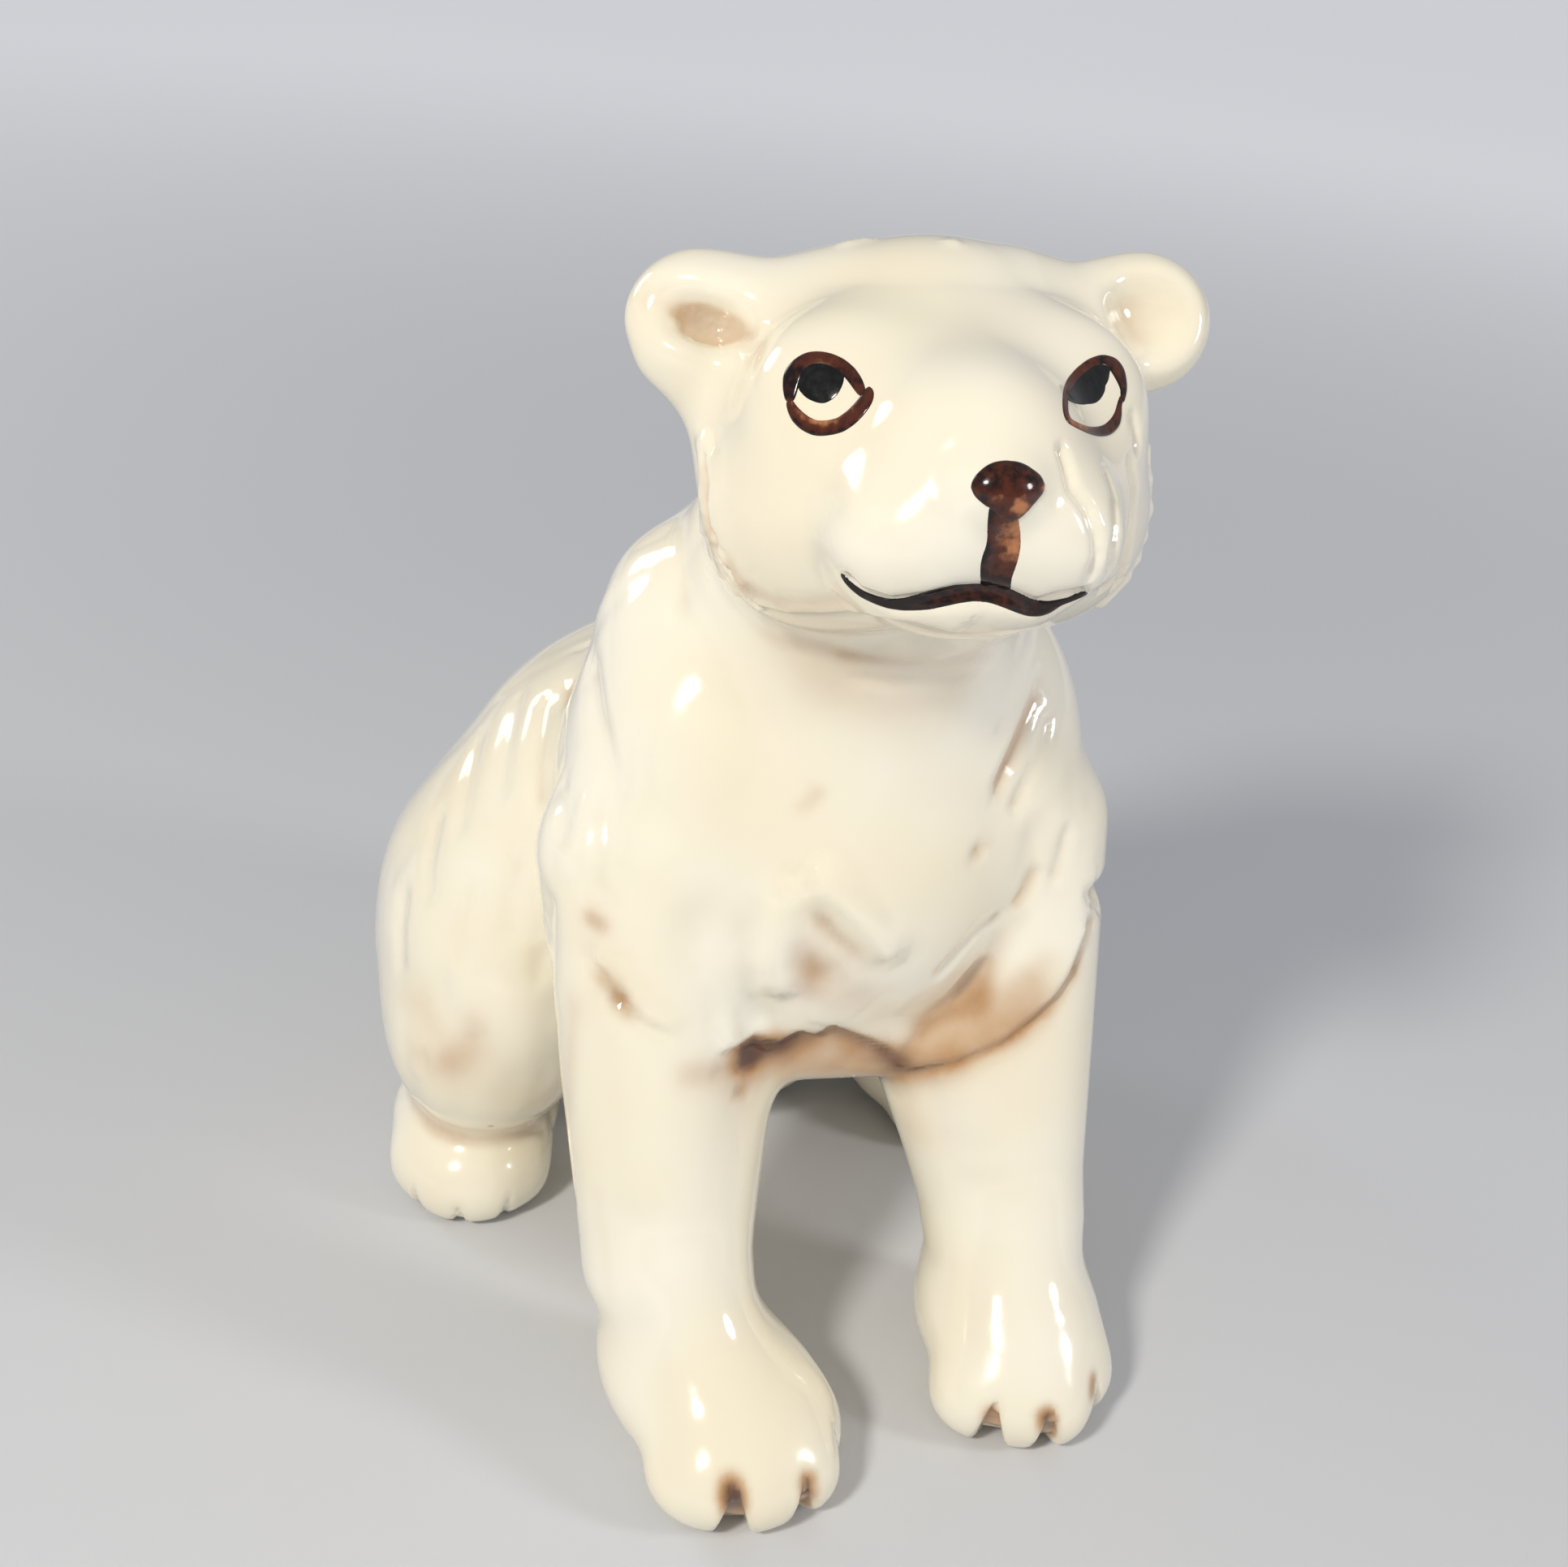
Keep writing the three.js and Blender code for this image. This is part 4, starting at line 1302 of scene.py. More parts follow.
@dataclass
class Fur:
    """Soft lines of fur pressed into the coat, seeded so that they always fall alike.

    A bare part lies below a height, or above one on the face, and ahead of a depth. The breast is bare
    within a half width of the middle.
    """

    modeller: Modeller
    count: int = 300
    seed: int = 11
    step: float = 0.7
    length: Pair = (8, 18)
    width: Pair = (1.1, 2.0)
    height: Pair = (0.10, 0.24)
    deepest: float = 0.4
    even_rounds: int = 2
    face: Pair = (74, -18)
    legs: Pair = (40, -2)
    paws: Pair = (13, 34)
    chest_ahead: float = -24
    breast: Pair = (15, -14)
    foot: float = 3
    spine: float = 14
    nape: float = 90
    swirl: Triple = (0.35, 0.16, 0.11)
    backwards: Pair = (0.15, 0.9)

    def grows(self, at: Vector) -> bool:
        """Whether the coat has lines at a place: not on the face, the legs, the paws or the chest.

        Args:
            at: The place.

        Returns:
            Whether it has.
        """
        face = at.z > self.face[0] and at.y < self.face[1]
        legs = at.z < self.legs[0] and at.y < self.legs[1]
        paws = at.z < self.paws[0] and at.y < self.paws[1]
        breast = abs(at.x) < self.breast[0] and at.y < self.breast[1]
        return not (face or legs or paws or breast or at.y < self.chest_ahead or at.z < self.foot)

    def flow(self, at: Vector) -> Vector:
        """Which way the coat lies: down the flanks, and back along the spine.

        The swirl is how far the lines sway, and how fast with depth and with height.

        Args:
            at: The place.

        Returns:
            The direction.
        """
        back = max(0.0, 1 - abs(at.x) / self.spine)
        down = -1.0 if at.z < self.nape else -0.6
        most, by_y, by_z = self.swirl
        swirl = most * math.sin(at.y * by_y + at.z * by_z)
        flank, spine = self.backwards
        return Vector((0, swirl + flank + spine * back, down * (1 - 0.5 * back)))

    def line(self, start: Vector, length: float) -> tuple[Points, Points]:
        """One line of fur, walked along the skin.

        Args:
            start: Where the line starts.
            length: How long it is.

        Returns:
            Its places, and how the skin faces at each of them.
        """
        places, facing, at = [], [], start
        for _ in range(int(length / self.step)):
            found, normal, _, _ = self.modeller.surface.find_nearest(TO_ROW @ at)
            at = TO_ROW.inverted() @ found
            places.append(at)
            facing.append(normal)
            way = self.flow(at)
            way = (way - normal * way.dot(normal)).normalized()
            at = at + way * self.step
        return np.array(places), np.array(facing)

    def build(self) -> None:
        """Presses the lines in."""
        chance = np.random.default_rng(self.seed)
        lift = np.zeros(len(self.modeller.points))
        made = 0
        for n in chance.permutation(len(self.modeller.points)):
            start = Vector(self.modeller.points[n])
            if not self.grows(start):
                continue
            path, facing = self.line(start, chance.uniform(*self.length))
            width, height = chance.uniform(*self.width), chance.uniform(*self.height)
            self.modeller.press(lift, path, facing, Touch(Relief.GROOVE, width, height, ()))
            made += 1
            if made == self.count:
                break
        lift = np.maximum(lift, -self.deepest)
        self.modeller.lift(spread(lift, read_edges(self.modeller.skin), self.even_rounds))


@dataclass
class PoolAndShade:
    """Where the glaze gathers and where shade is painted in: darker in creases and hollows, and along
    marks laid through the picture.

    A scale is how far the skin is evened out to find its hollows, and how much they count.
    """

    scales: tuple[tuple[int, float], ...] = ((6, 1.3), (30, 0.9), (110, 0.7))
    threshold: float = 0.10
    in_creases: float = 0.6
    deepest: float = 1.8
    even_rounds: int = 3
    bare_foot: float = 0.3

    def build(self, modeller: Modeller) -> None:
        """Writes how much gathering glaze and painted shade each point takes, from 0 up to where it is
        darkest.

        Args:
            modeller: Holds the skin, and finds the marks of stain and painted shade on it.
        """
        skin, points, normals = modeller.skin, modeller.points, modeller.normals
        edges = read_edges(skin)
        total = np.zeros(len(points))
        # Painted shade and gathering glaze: the deeper a hollow of the skin, the darker it is made.
        for rounds, weight in self.scales:
            hollow = ((spread(points, edges, rounds) - points) * normals).sum(axis=1)
            total += np.clip(hollow, 0, None) * weight
        total = np.clip(total - self.threshold, 0, self.in_creases) + modeller.stains_and_shade(STAINS_AND_SHADE)
        pool_and_shade = spread(np.clip(total, 0, self.deepest), edges, self.even_rounds)
        pool_and_shade[points[:, 2] < self.bare_foot] = 0
        layer = skin.data.attributes.new("pool_and_shade", "FLOAT", "POINT")
        layer.data.foreach_set("value", pool_and_shade.astype(np.float32))


# seams


@dataclass(frozen=True)
class Seam:
    """A flat cut across the clay, in a frame whose z points at the smaller casting.

    Its block is wider than the smaller casting and reaches past its far end. Its middle is how far
    the block is shifted along the cut.
    """

    place: Matrix
    width: Pair
    reach: float
    middle: Pair = (0, 0)

    def block(self, low: float, high: float) -> bpy.types.Object:
        """A block between two distances beyond the cut.

        Args:
            low: Where the block starts, measured from the cut.
            high: Where it ends.

        Returns:
            The block as an object.
        """
        bpy.ops.mesh.primitive_cube_add(size=1)
        tool = bpy.context.object
        size = Matrix.Diagonal((*self.width, high - low, 1))
        middle = Matrix.Translation((*self.middle, (low + high) / 2))
        tool.data.transform(TO_ROW @ self.place @ middle @ size)
        return tool


@dataclass
class Seams:
    """Every cut between the castings, with the joining slip that fills it."""

    clay: Clay
    slip_thickness: float = 1.0
    neck: Seam = Seam(placed((0, -15, 79)), (90, 90), 60)
    ear_tilt: float = 56
    ear_width: Pair = (20, 24)
    ear_reach: float = 16
    leg_down: float = 24
    leg_past_ground: float = 8
    leg_width: Pair = (28, 38)
    leg_middle: Pair = (-1.5, 5)
    hind_paw_tilt: float = 135
    hind_paw_width: Pair = (30, 22)
    tail_from_ball: Triple = (0, -0.9, 0.5)
    tail_tilt: float = -114
    tail_width: Pair = (20, 20)
    stub_reach: float = 14
    vent_at: float = 22
    vent_radius: float = 3
    vent_depth: float = 6
    vent_margin: float = 0.05
    flush: float = 0.004
    square: float = 0.999

    def mirrored(self, name: str, seam: Seam, parent: Matrix = Matrix.Identity(4)) -> dict[str, Seam]:
        """A cut on the left and its mirror image on the right.

        Args:
            name: What the casting is called, without its side.
            seam: The cut on the left.
            parent: The frame that the cut sits in.

        Returns:
            Both cuts by the names of their castings.
        """
        other = parent @ MIRROR @ seam.place @ MIRROR
        across, along = seam.middle
        return {
            f"left_{name}": Seam(parent @ seam.place, seam.width, seam.reach, (across, along)),
            f"right_{name}": Seam(other, seam.width, seam.reach, (-across, along)),
        }

    def cuts(self) -> dict[str, Seam]:
        """The cuts by the names of the castings that they part from the trunk or the head.

        Returns:
            The cuts, in the order in which they are made.
        """
        head, trunk = self.clay.head, self.clay.trunk
        head_place = placed((0, *head.at[1:]), -head.pitch, -head.roll, head.yaw)
        ear_place = placed(head.ear_seam, 0, self.ear_tilt)
        bone = self.clay.left_foreleg.seam_bone
        axis = (Vector(bone.end) - Vector(bone.start)).normalized()
        leg_at = Vector(bone.start) + axis * self.leg_down
        leg_reach = leg_at.z / -axis.z + self.leg_past_ground
        foreleg = Seam(pointing(leg_at, axis), self.leg_width, leg_reach, self.leg_middle)
        paw_place = placed(trunk.hind_paw_seam, self.hind_paw_tilt)
        tail_at = np.add(trunk.tail.at, self.tail_from_ball)
        return {
            "neck": self.neck,
            **self.mirrored("ear", Seam(ear_place, self.ear_width, self.ear_reach), head_place),
            **self.mirrored("foreleg", foreleg),
            **self.mirrored("hind_paw", Seam(paw_place, self.hind_paw_width, self.stub_reach)),
            "tail": Seam(placed(tail_at, self.tail_tilt), self.tail_width, self.stub_reach),
        }

    def trim(self, piece: bpy.types.Object, seam: Seam, low: float, high: float, way: str) -> None:
        """Cuts a piece with the block between two distances beyond a cut.

        Args:
            piece: The piece to cut.
            seam: The cut.
            low: Where the block starts, measured from the cut.
            high: Where it ends.
            way: INTERSECT keeps what is in the block, and DIFFERENCE what is outside it.
        """
        combine(piece, seam.block(low, high), way)

    def part(self, skin: bpy.types.Object) -> dict[str, bpy.types.Object]:
        """Cuts the skin into its castings and their joining slip.

        Args:
            skin: The whole cub, which is left as it is.

        Returns:
            The pieces by the names of their CAD nodes.
        """
        half = self.slip_thickness / 2
        pieces = {"torso_casting": copied(skin, "torso_casting")}
        for name, seam in self.cuts().items():
            rest = pieces["head_casting" if name.endswith("ear") else "torso_casting"]
            casting = "head_casting" if name == "neck" else name
            pieces[casting] = copied(rest, casting)
            self.trim(pieces[casting], seam, -half, seam.reach, "INTERSECT")
            self.trim(rest, seam, -half, seam.reach, "DIFFERENCE")
            slip = pieces[f"{name}_slip"] = copied(pieces[casting], f"{name}_slip")
            self.trim(slip, seam, -2 * half, half, "INTERSECT")
            self.trim(pieces[casting], seam, half, seam.reach + half, "INTERSECT")
        self.vent(pieces["torso_casting"])
        return pieces

    def vent(self, torso: bpy.types.Object) -> None:
        """Drills the vent into the underside, deep enough to look dark.

        Args:
            torso: The torso casting.
        """
        length = 2 * self.vent_depth
        bpy.ops.mesh.primitive_cylinder_add(vertices=SIDES, radius=self.vent_radius, depth=length)
        drill = bpy.context.object
        drill.data.transform(TO_ROW @ Matrix.Translation((0, self.vent_at, 0)))
        combine(torso, drill, "DIFFERENCE")

    def cut_faces(self, piece: bpy.types.Object) -> Points:
        """Which of a piece's faces lie in a cut.

        Args:
            piece: The piece.

        Returns:
            A true or false for each face.
        """
        mesh = piece.data
        middles = moved(gathered(mesh.polygons, "center", 3), TO_ROW.inverted())
        facing = gathered(mesh.polygons, "normal", 3)
        in_cut = np.zeros(len(middles), bool)
        for seam in self.cuts().values():
            level = moved(middles, seam.place.inverted())[:, 2]
            on_plane = np.abs(np.abs(level) - self.slip_thickness / 2) < self.flush
            square = np.abs(facing @ np.array(seam.place.col[2][:3])) > self.square
            in_cut |= on_plane & square
        from_vent = np.hypot(middles[:, 0], middles[:, 1] - self.vent_at)
        in_vent = from_vent < self.vent_radius + self.vent_margin
        return in_cut | (in_vent & (middles[:, 2] < self.vent_depth + 1))

    def heal(self, piece: bpy.types.Object, surface: BVHTree, skin: bpy.types.Object) -> None:
        """Shades a piece as part of the whole skin, so that no seam shows in the glaze.

        Args:
            piece: A piece of the skin.
            surface: The whole skin's surface.
            skin: The whole skin.
        """
        mesh = piece.data
        mesh.shade_smooth()
        in_cut = self.cut_faces(piece)
        corners = gathered(mesh.loops, "vertex_index", kind=np.int32)
        corner_in_cut = np.repeat(in_cut, gathered(mesh.polygons, "loop_total", kind=np.int32))
        touched = np.zeros((2, len(mesh.vertices)), bool)
        touched[0, corners[corner_in_cut]] = True
        touched[1, corners[~corner_in_cut]] = True
        on_edge = touched.all(axis=0)
        mesh.edges.foreach_set("use_edge_sharp", on_edge[read_edges(piece)].all(axis=1))
        whole = read_normals(skin)
        # The whole skin's gathering glaze and painted shade are carried onto the points along each seam.
        pools_and_shade = gathered(skin.data.attributes["pool_and_shade"].data, "value")
        shading = np.zeros((len(mesh.loops), 3))
        healed = {}
        for vertex in np.flatnonzero(on_edge):
            at = mesh.vertices[vertex].co
            found, _, face, _ = surface.find_nearest(at)
            polygon = skin.data.polygons[face]
            ring = [skin.data.loops[n].vertex_index for n in polygon.loop_indices]
            share = [1 / max((skin.data.vertices[n].co - found).length, 1e-7) ** 2 for n in ring]
            healed[vertex] = np.average(whole[ring], axis=0, weights=share)
            mesh.attributes["pool_and_shade"].data[vertex].value = np.average(pools_and_shade[ring], weights=share)
        for corner in np.flatnonzero(on_edge[corners] & ~corner_in_cut):
            shading[corner] = healed[corners[corner]]
        length = np.linalg.norm(shading, axis=1, keepdims=True)
        shading = np.divide(shading, length, out=np.zeros_like(shading), where=length > 0)
        mesh.normals_split_custom_set(shading.tolist())


# enamel


@dataclass(frozen=True)
class Dab:
    """One place on a brush stroke: where it is in the picture, its half width and how thin it lies.

    A slant is by how much the stroke is thinner on one side than in its middle.
    """

    u: float
    v: float
    half: float
    thin: float
    slant: float = 0


Stroke = tuple[Dab, ...]


def brushing(*rows: tuple[float, ...]) -> Stroke:
    """A brush stroke from rows of picture place, half width, thinness and slant."""
    return tuple(Dab(*row) for row in rows)


@dataclass(frozen=True)
class Blob:
    """A filled patch of enamel inside an outline in the picture, thinner round a few places.

    Each of these is its two places in the picture, its radius and how much thinner it is.
    """

    outline: tuple[Pair, ...]
    thin: tuple[tuple[float, float, float, float], ...] = ()
    ground: float = 0.1
    coat: float = 0.12


RIGHT_EYE = (
    brushing(
        (973, 497, 4, 0.5), (973, 488, 8, 0.1), (974, 476, 10.5, 0.05), (976, 463, 12, 0.1),
        (985, 451, 11.5, 0.15), (996, 443, 10, 0.35), (1008, 441, 9, 0.5), (1021, 443, 9, 0.5),
        (1035, 449, 9, 0.3), (1047, 459, 9, 0.2), (1055, 470, 8.5, 0.2), (1060, 480, 7, 0.35),
        (1064, 488, 4.5, 0.6),
    ),
    brushing(
        (972, 492, 4, 0.3, 0.2), (975, 502, 6.5, 0.4, 0.2), (982, 513, 9, 0.45, 0.25),
        (992, 522, 9.8, 0.45, 0.4), (1005, 528, 10, 0.5, 0.5), (1020, 527.5, 9.8, 0.45, 0.45),
        (1035, 524, 9.8, 0.4, 0.2), (1048, 515, 9.8, 0.35, 0.1), (1059, 504, 9.5, 0.4, 0),
        (1067, 493, 9, 0.35, 0), (1071, 484, 7.5, 0.4, 0), (1071, 476, 3, 0.4, 0),
    ),
)

LEFT_EYE = (
    brushing(
        (1312, 492, 3, 0.3), (1314, 482, 5, 0.3), (1320, 470, 6.5, 0.4), (1331, 458, 7, 0.4),
        (1344, 448, 7, 0.3), (1358, 443, 7, 0.1), (1371, 447, 8, 0.25), (1378, 457, 8.5, 0.3),
        (1382, 468, 6.5, 0.3), (1384.5, 478, 4.5, 0.2), (1384, 489, 3.5, 0.2), (1382, 497, 2.5, 0.2),
    ),
    brushing(
        (1312.5, 486, 3.5, 0.3), (1312.5, 498, 3.8, 0.3), (1313, 509, 3.5, 0.4), (1317, 519, 3.5, 0.6),
        (1329, 525, 3.8, 0.85), (1341, 530, 4.5, 0.5), (1353, 532, 6.5, 0.25), (1365, 530, 8, 0.3),
        (1374, 521, 7.5, 0.35), (1378, 509, 4.5, 0.35), (1379, 499, 3.2, 0.4), (1383, 487, 3, 0.2),
    ),
)

RIGHT_PUPIL = Blob(
    ((978, 452), (990, 443), (1010, 441), (1026, 445), (1036, 453), (1040, 465), (1036, 479),
     (1028, 490), (1015, 497), (1001, 494), (989, 486), (982, 474), (977, 462)),
)

LEFT_PUPIL = Blob(
    ((1314, 474), (1325, 458), (1341, 446), (1357, 441), (1369, 446), (1367, 460), (1362, 475),
     (1359, 487), (1351, 496), (1340, 498), (1328, 498), (1317, 494), (1310, 484)),
)

NOSE = Blob(
    ((1196, 600), (1199, 590), (1209, 579), (1221, 571), (1233, 568), (1246, 568), (1260, 571),
     (1272, 578), (1282, 586), (1287, 596), (1286, 606), (1280, 614), (1272, 623), (1264, 632),
     (1256, 639), (1247, 643), (1238, 640), (1229, 633), (1220, 626), (1209, 619), (1200, 610)),
    thin=((1256, 622, 14, 0.75), (1282, 601, 6, 0.5), (1226, 615, 8, 0.35), (1240, 604, 11, 0.2)),
    ground=0.2,
    coat=0.4,
)

PHILTRUM = (
    brushing(
        (1237, 612, 16, 0.2, 0.1), (1236, 630, 19, 0.35, 0.25), (1236, 645, 20.5, 0.55, 0.35),
        (1237, 657, 21.5, 0.65, 0.35), (1237, 668, 22, 0.65, 0.35), (1235, 680, 22.5, 0.5, 0.4),
        (1231, 692, 23, 0.4, 0.2), (1228, 703, 22, 0.25, 0.1), (1227, 714, 20, 0.1, 0.1),
        (1227, 726, 20, 0.0, 0.0), (1227, 740, 16, 0.0, 0.0),
    ),
)

MOUTH = (
    brushing(
        (1036, 706, 1.8, 0.1), (1041, 714, 3.2, 0.05), (1050, 723, 4, 0), (1062, 732, 4.6, 0),
        (1078, 739, 5.4, 0), (1095, 744, 6.4, 0), (1112, 745, 8, 0), (1128, 743, 10, 0.05),
        (1144, 740, 12, 0.1), (1160, 736, 12.5, 0.1), (1180, 732, 12, 0.12), (1200, 730, 11.3, 0.15),
        (1220, 731, 12, 0.2), (1238, 736, 13, 0.25), (1254, 743, 12.5, 0.2), (1268, 749, 11.5, 0.1),
        (1282, 750, 10.5, 0.1), (1293, 748, 8, 0.05), (1304, 743, 4.5, 0), (1318, 739, 3.4, 0),
        (1331, 733, 4.2, 0), (1341, 730, 2, 0),
    ),
)


@dataclass
class Painter:
    """Lays enamel on the glazed head, through the picture.

    Coats and depths are in millimetres, and the step and the full width in points of the picture.
    """

    viewpoint: Viewpoint
    surface: BVHTree
    sunk: float = 0.3
    rows: int = 13
    step: float = 3.0
    even_rounds: int = 3
    full_width: float = 5
    tip: float = 0.02
    bead: Pair = (0.75, 0.25)
    edge_sunk: float = 0.02
    edge_thin: float = 0.25
    pat_sides: int = 72
    pat_rings: int = 28
    line_coat: float = 0.16
    philtrum_coat: float = 0.13
    mouth_coat: float = 0.15

    def lay(self, u: float, v: float, height: float) -> Vector:
        """A point in the row frame, at a height off the surface, or a little way into it."""
        at, normal = self.viewpoint.cast(u, v, self.surface)
        return at + normal * height * MM

    def stroke(self, brush: Stroke, name: str, coat: float) -> bpy.types.Object:
        """One brush stroke as a closed, rounded ribbon of enamel.

        Args:
            brush: The stroke's dabs.
            name: What to call it.
            coat: How thick the enamel stands.

        Returns:
            The ribbon.
        """
        dabs = np.array([(d.u, d.v, d.half, d.thin, d.slant) for d in brush])
        run = np.r_[0, np.cumsum(np.hypot(*np.diff(dabs[:, :2], axis=0).T))]
        count = int(run[-1] / self.step) + 2
        at = np.linspace(0, run[-1], count)
        line = np.array([np.interp(at, run, column) for column in dabs.T]).T
        for _ in range(self.even_rounds):
            line[1:-1] = (line[:-2] + 2 * line[1:-1] + line[2:]) / 4
        ahead = np.gradient(line[:, :2], axis=0)
        ahead /= np.linalg.norm(ahead, axis=1, keepdims=True)
        across = np.stack([-ahead[:, 1], ahead[:, 0]], axis=1)
        round_end = np.minimum(at, run[-1] - at) / np.maximum(line[:, 2], 1e-6)
        width = line[:, 2] * np.sqrt(np.clip(1 - (1 - np.clip(round_end, 0, 1)) ** 2, self.tip, 1))
        bpy.ops.mesh.primitive_grid_add(x_subdivisions=count - 1, y_subdivisions=self.rows - 1, size=1)
        ribbon = bpy.context.object
        thin = []
        for vertex in ribbon.data.vertices:
            n = round((vertex.co.x + 0.5) * (count - 1))
            t = (vertex.co.y + 0.5) * 2 - 1
            u, v = line[n, :2] + across[n] * t * width[n]
            bead = math.sqrt(max(1 - t * t, 0)) * (self.bead[0] + self.bead[1] * abs(t))
            full = min(1.0, width[n] / self.full_width)
            vertex.co = self.lay(u, v, coat * bead * full - self.edge_sunk)
            thin.append(np.clip(line[n, 3] - line[n, 4] * t - self.edge_thin * t**6, 0, 1))
        return self.closed(ribbon, thin, name)

    def blob(self, patch: Blob, name: str) -> bpy.types.Object:
        """A filled patch as a domed, closed pat of enamel.

        Args:
            patch: The patch.
            name: What to call it.

        Returns:
            The pat.
        """
        outline = np.array(patch.outline + patch.outline[:1])
        middle = outline[:-1].mean(axis=0)
        angles = np.unwrap(np.arctan2(*(outline - middle).T[::-1]))
        radii = np.hypot(*(outline - middle).T)
        order = np.argsort(angles)
        bpy.ops.mesh.primitive_uv_sphere_add(segments=self.pat_sides, ring_count=self.pat_rings, radius=1)
        pat = bpy.context.object
        thin = []
        low = angles[order][0]
        for vertex in pat.data.vertices:
            share = min(1.0, math.hypot(vertex.co.x, vertex.co.y))
            angle = math.atan2(-vertex.co.y, vertex.co.x)
            angle = low + (angle - low) % (2 * math.pi)
            radius = np.interp(angle, angles[order], radii[order])
            u = middle[0] + math.cos(angle) * radius * share
            v = middle[1] + math.sin(angle) * radius * share
            up = vertex.co.z
            vertex.co = self.lay(u, v, patch.coat * up if up > 0 else self.sunk * up)
            worn = [
                value * math.exp(-((u - a) ** 2 + (v - b) ** 2) / reach**2)
                for a, b, reach, value in patch.thin
            ]
            thin.append(min(1.0, patch.ground + sum(worn)))
        return self.named(pat, thin, name)

    def closed(self, ribbon: bpy.types.Object, thin: Sequence[float], name: str) -> bpy.types.Object:
        """Gives a draped ribbon its thickness, down into the glaze.

        Args:
            ribbon: The ribbon, as one layer.
            thin: How thin the enamel lies at each point.
            name: What to call it.

        Returns:
            The closed ribbon.
        """
        self.named(ribbon, thin, name)
        inwards = -1 if self.faces_out(ribbon) else 1
        finished(ribbon, "SOLIDIFY", thickness=self.sunk * MM, offset=inwards)
        return self.outward(ribbon)

    def faces_out(self, ribbon: bpy.types.Object) -> bool:
        """Whether a ribbon's faces point at the viewpoint."""
        face = ribbon.data.polygons[len(ribbon.data.polygons) // 2]
        return (TO_ROW @ Vector(self.viewpoint.at) - face.center).dot(face.normal) > 0

    def named(self, obj: bpy.types.Object, thin: Sequence[float], name: str) -> bpy.types.Object:
        """Names a piece of enamel and keeps how thin it lies at each point.

        Args:
            obj: The piece.
            thin: How thin the enamel lies at each point.
            name: What to call it.

        Returns:
            The same piece.
        """
        obj.name = obj.data.name = name
        layer = obj.data.attributes.new("thin", "FLOAT", "POINT")
        layer.data.foreach_set("value", np.array(thin, np.float32))
        obj.data.update()
        return self.outward(obj)

    def outward(self, obj: bpy.types.Object) -> bpy.types.Object:
        """Turns an object's faces outwards and smooths its shading.

        Args:
            obj: The object.

        Returns:
            The same object.
        """
        pick(obj)
        bpy.ops.object.mode_set(mode="EDIT")
        bpy.ops.mesh.select_all(action="SELECT")
        bpy.ops.mesh.normals_make_consistent(inside=False)
        bpy.ops.object.mode_set(mode="OBJECT")
        bpy.ops.object.shade_smooth()
        return obj

    def strokes(self, brushings: Sequence[Stroke], name: str, coat: float) -> bpy.types.Object:
        """Several strokes run together into one piece.

        Args:
            brushings: The strokes.
            name: What to call the piece.
            coat: How thick the enamel stands.

        Returns:
            The piece.
        """
        first, *rest = [self.stroke(brush, name, coat) for brush in brushings]
        for other in rest:
            combine(first, other, "UNION")
        return first

    def build(self) -> dict[str, bpy.types.Object]:
        """Paints the face.

        Returns:
            The pieces of enamel by the names of their CAD nodes.
        """
        return {
            "right_eye_outline": self.strokes(RIGHT_EYE, "right_eye_outline", self.line_coat),
            "left_eye_outline": self.strokes(LEFT_EYE, "left_eye_outline", self.line_coat),
            "right_pupil": self.blob(RIGHT_PUPIL, "right_pupil"),
            "left_pupil": self.blob(LEFT_PUPIL, "left_pupil"),
            "nose_enamel": self.blob(NOSE, "nose_enamel"),
            "philtrum_enamel": self.strokes(PHILTRUM, "philtrum_enamel", self.philtrum_coat),
            "mouth_enamel": self.strokes(MOUTH, "mouth_enamel", self.mouth_coat),
        }


# shader work


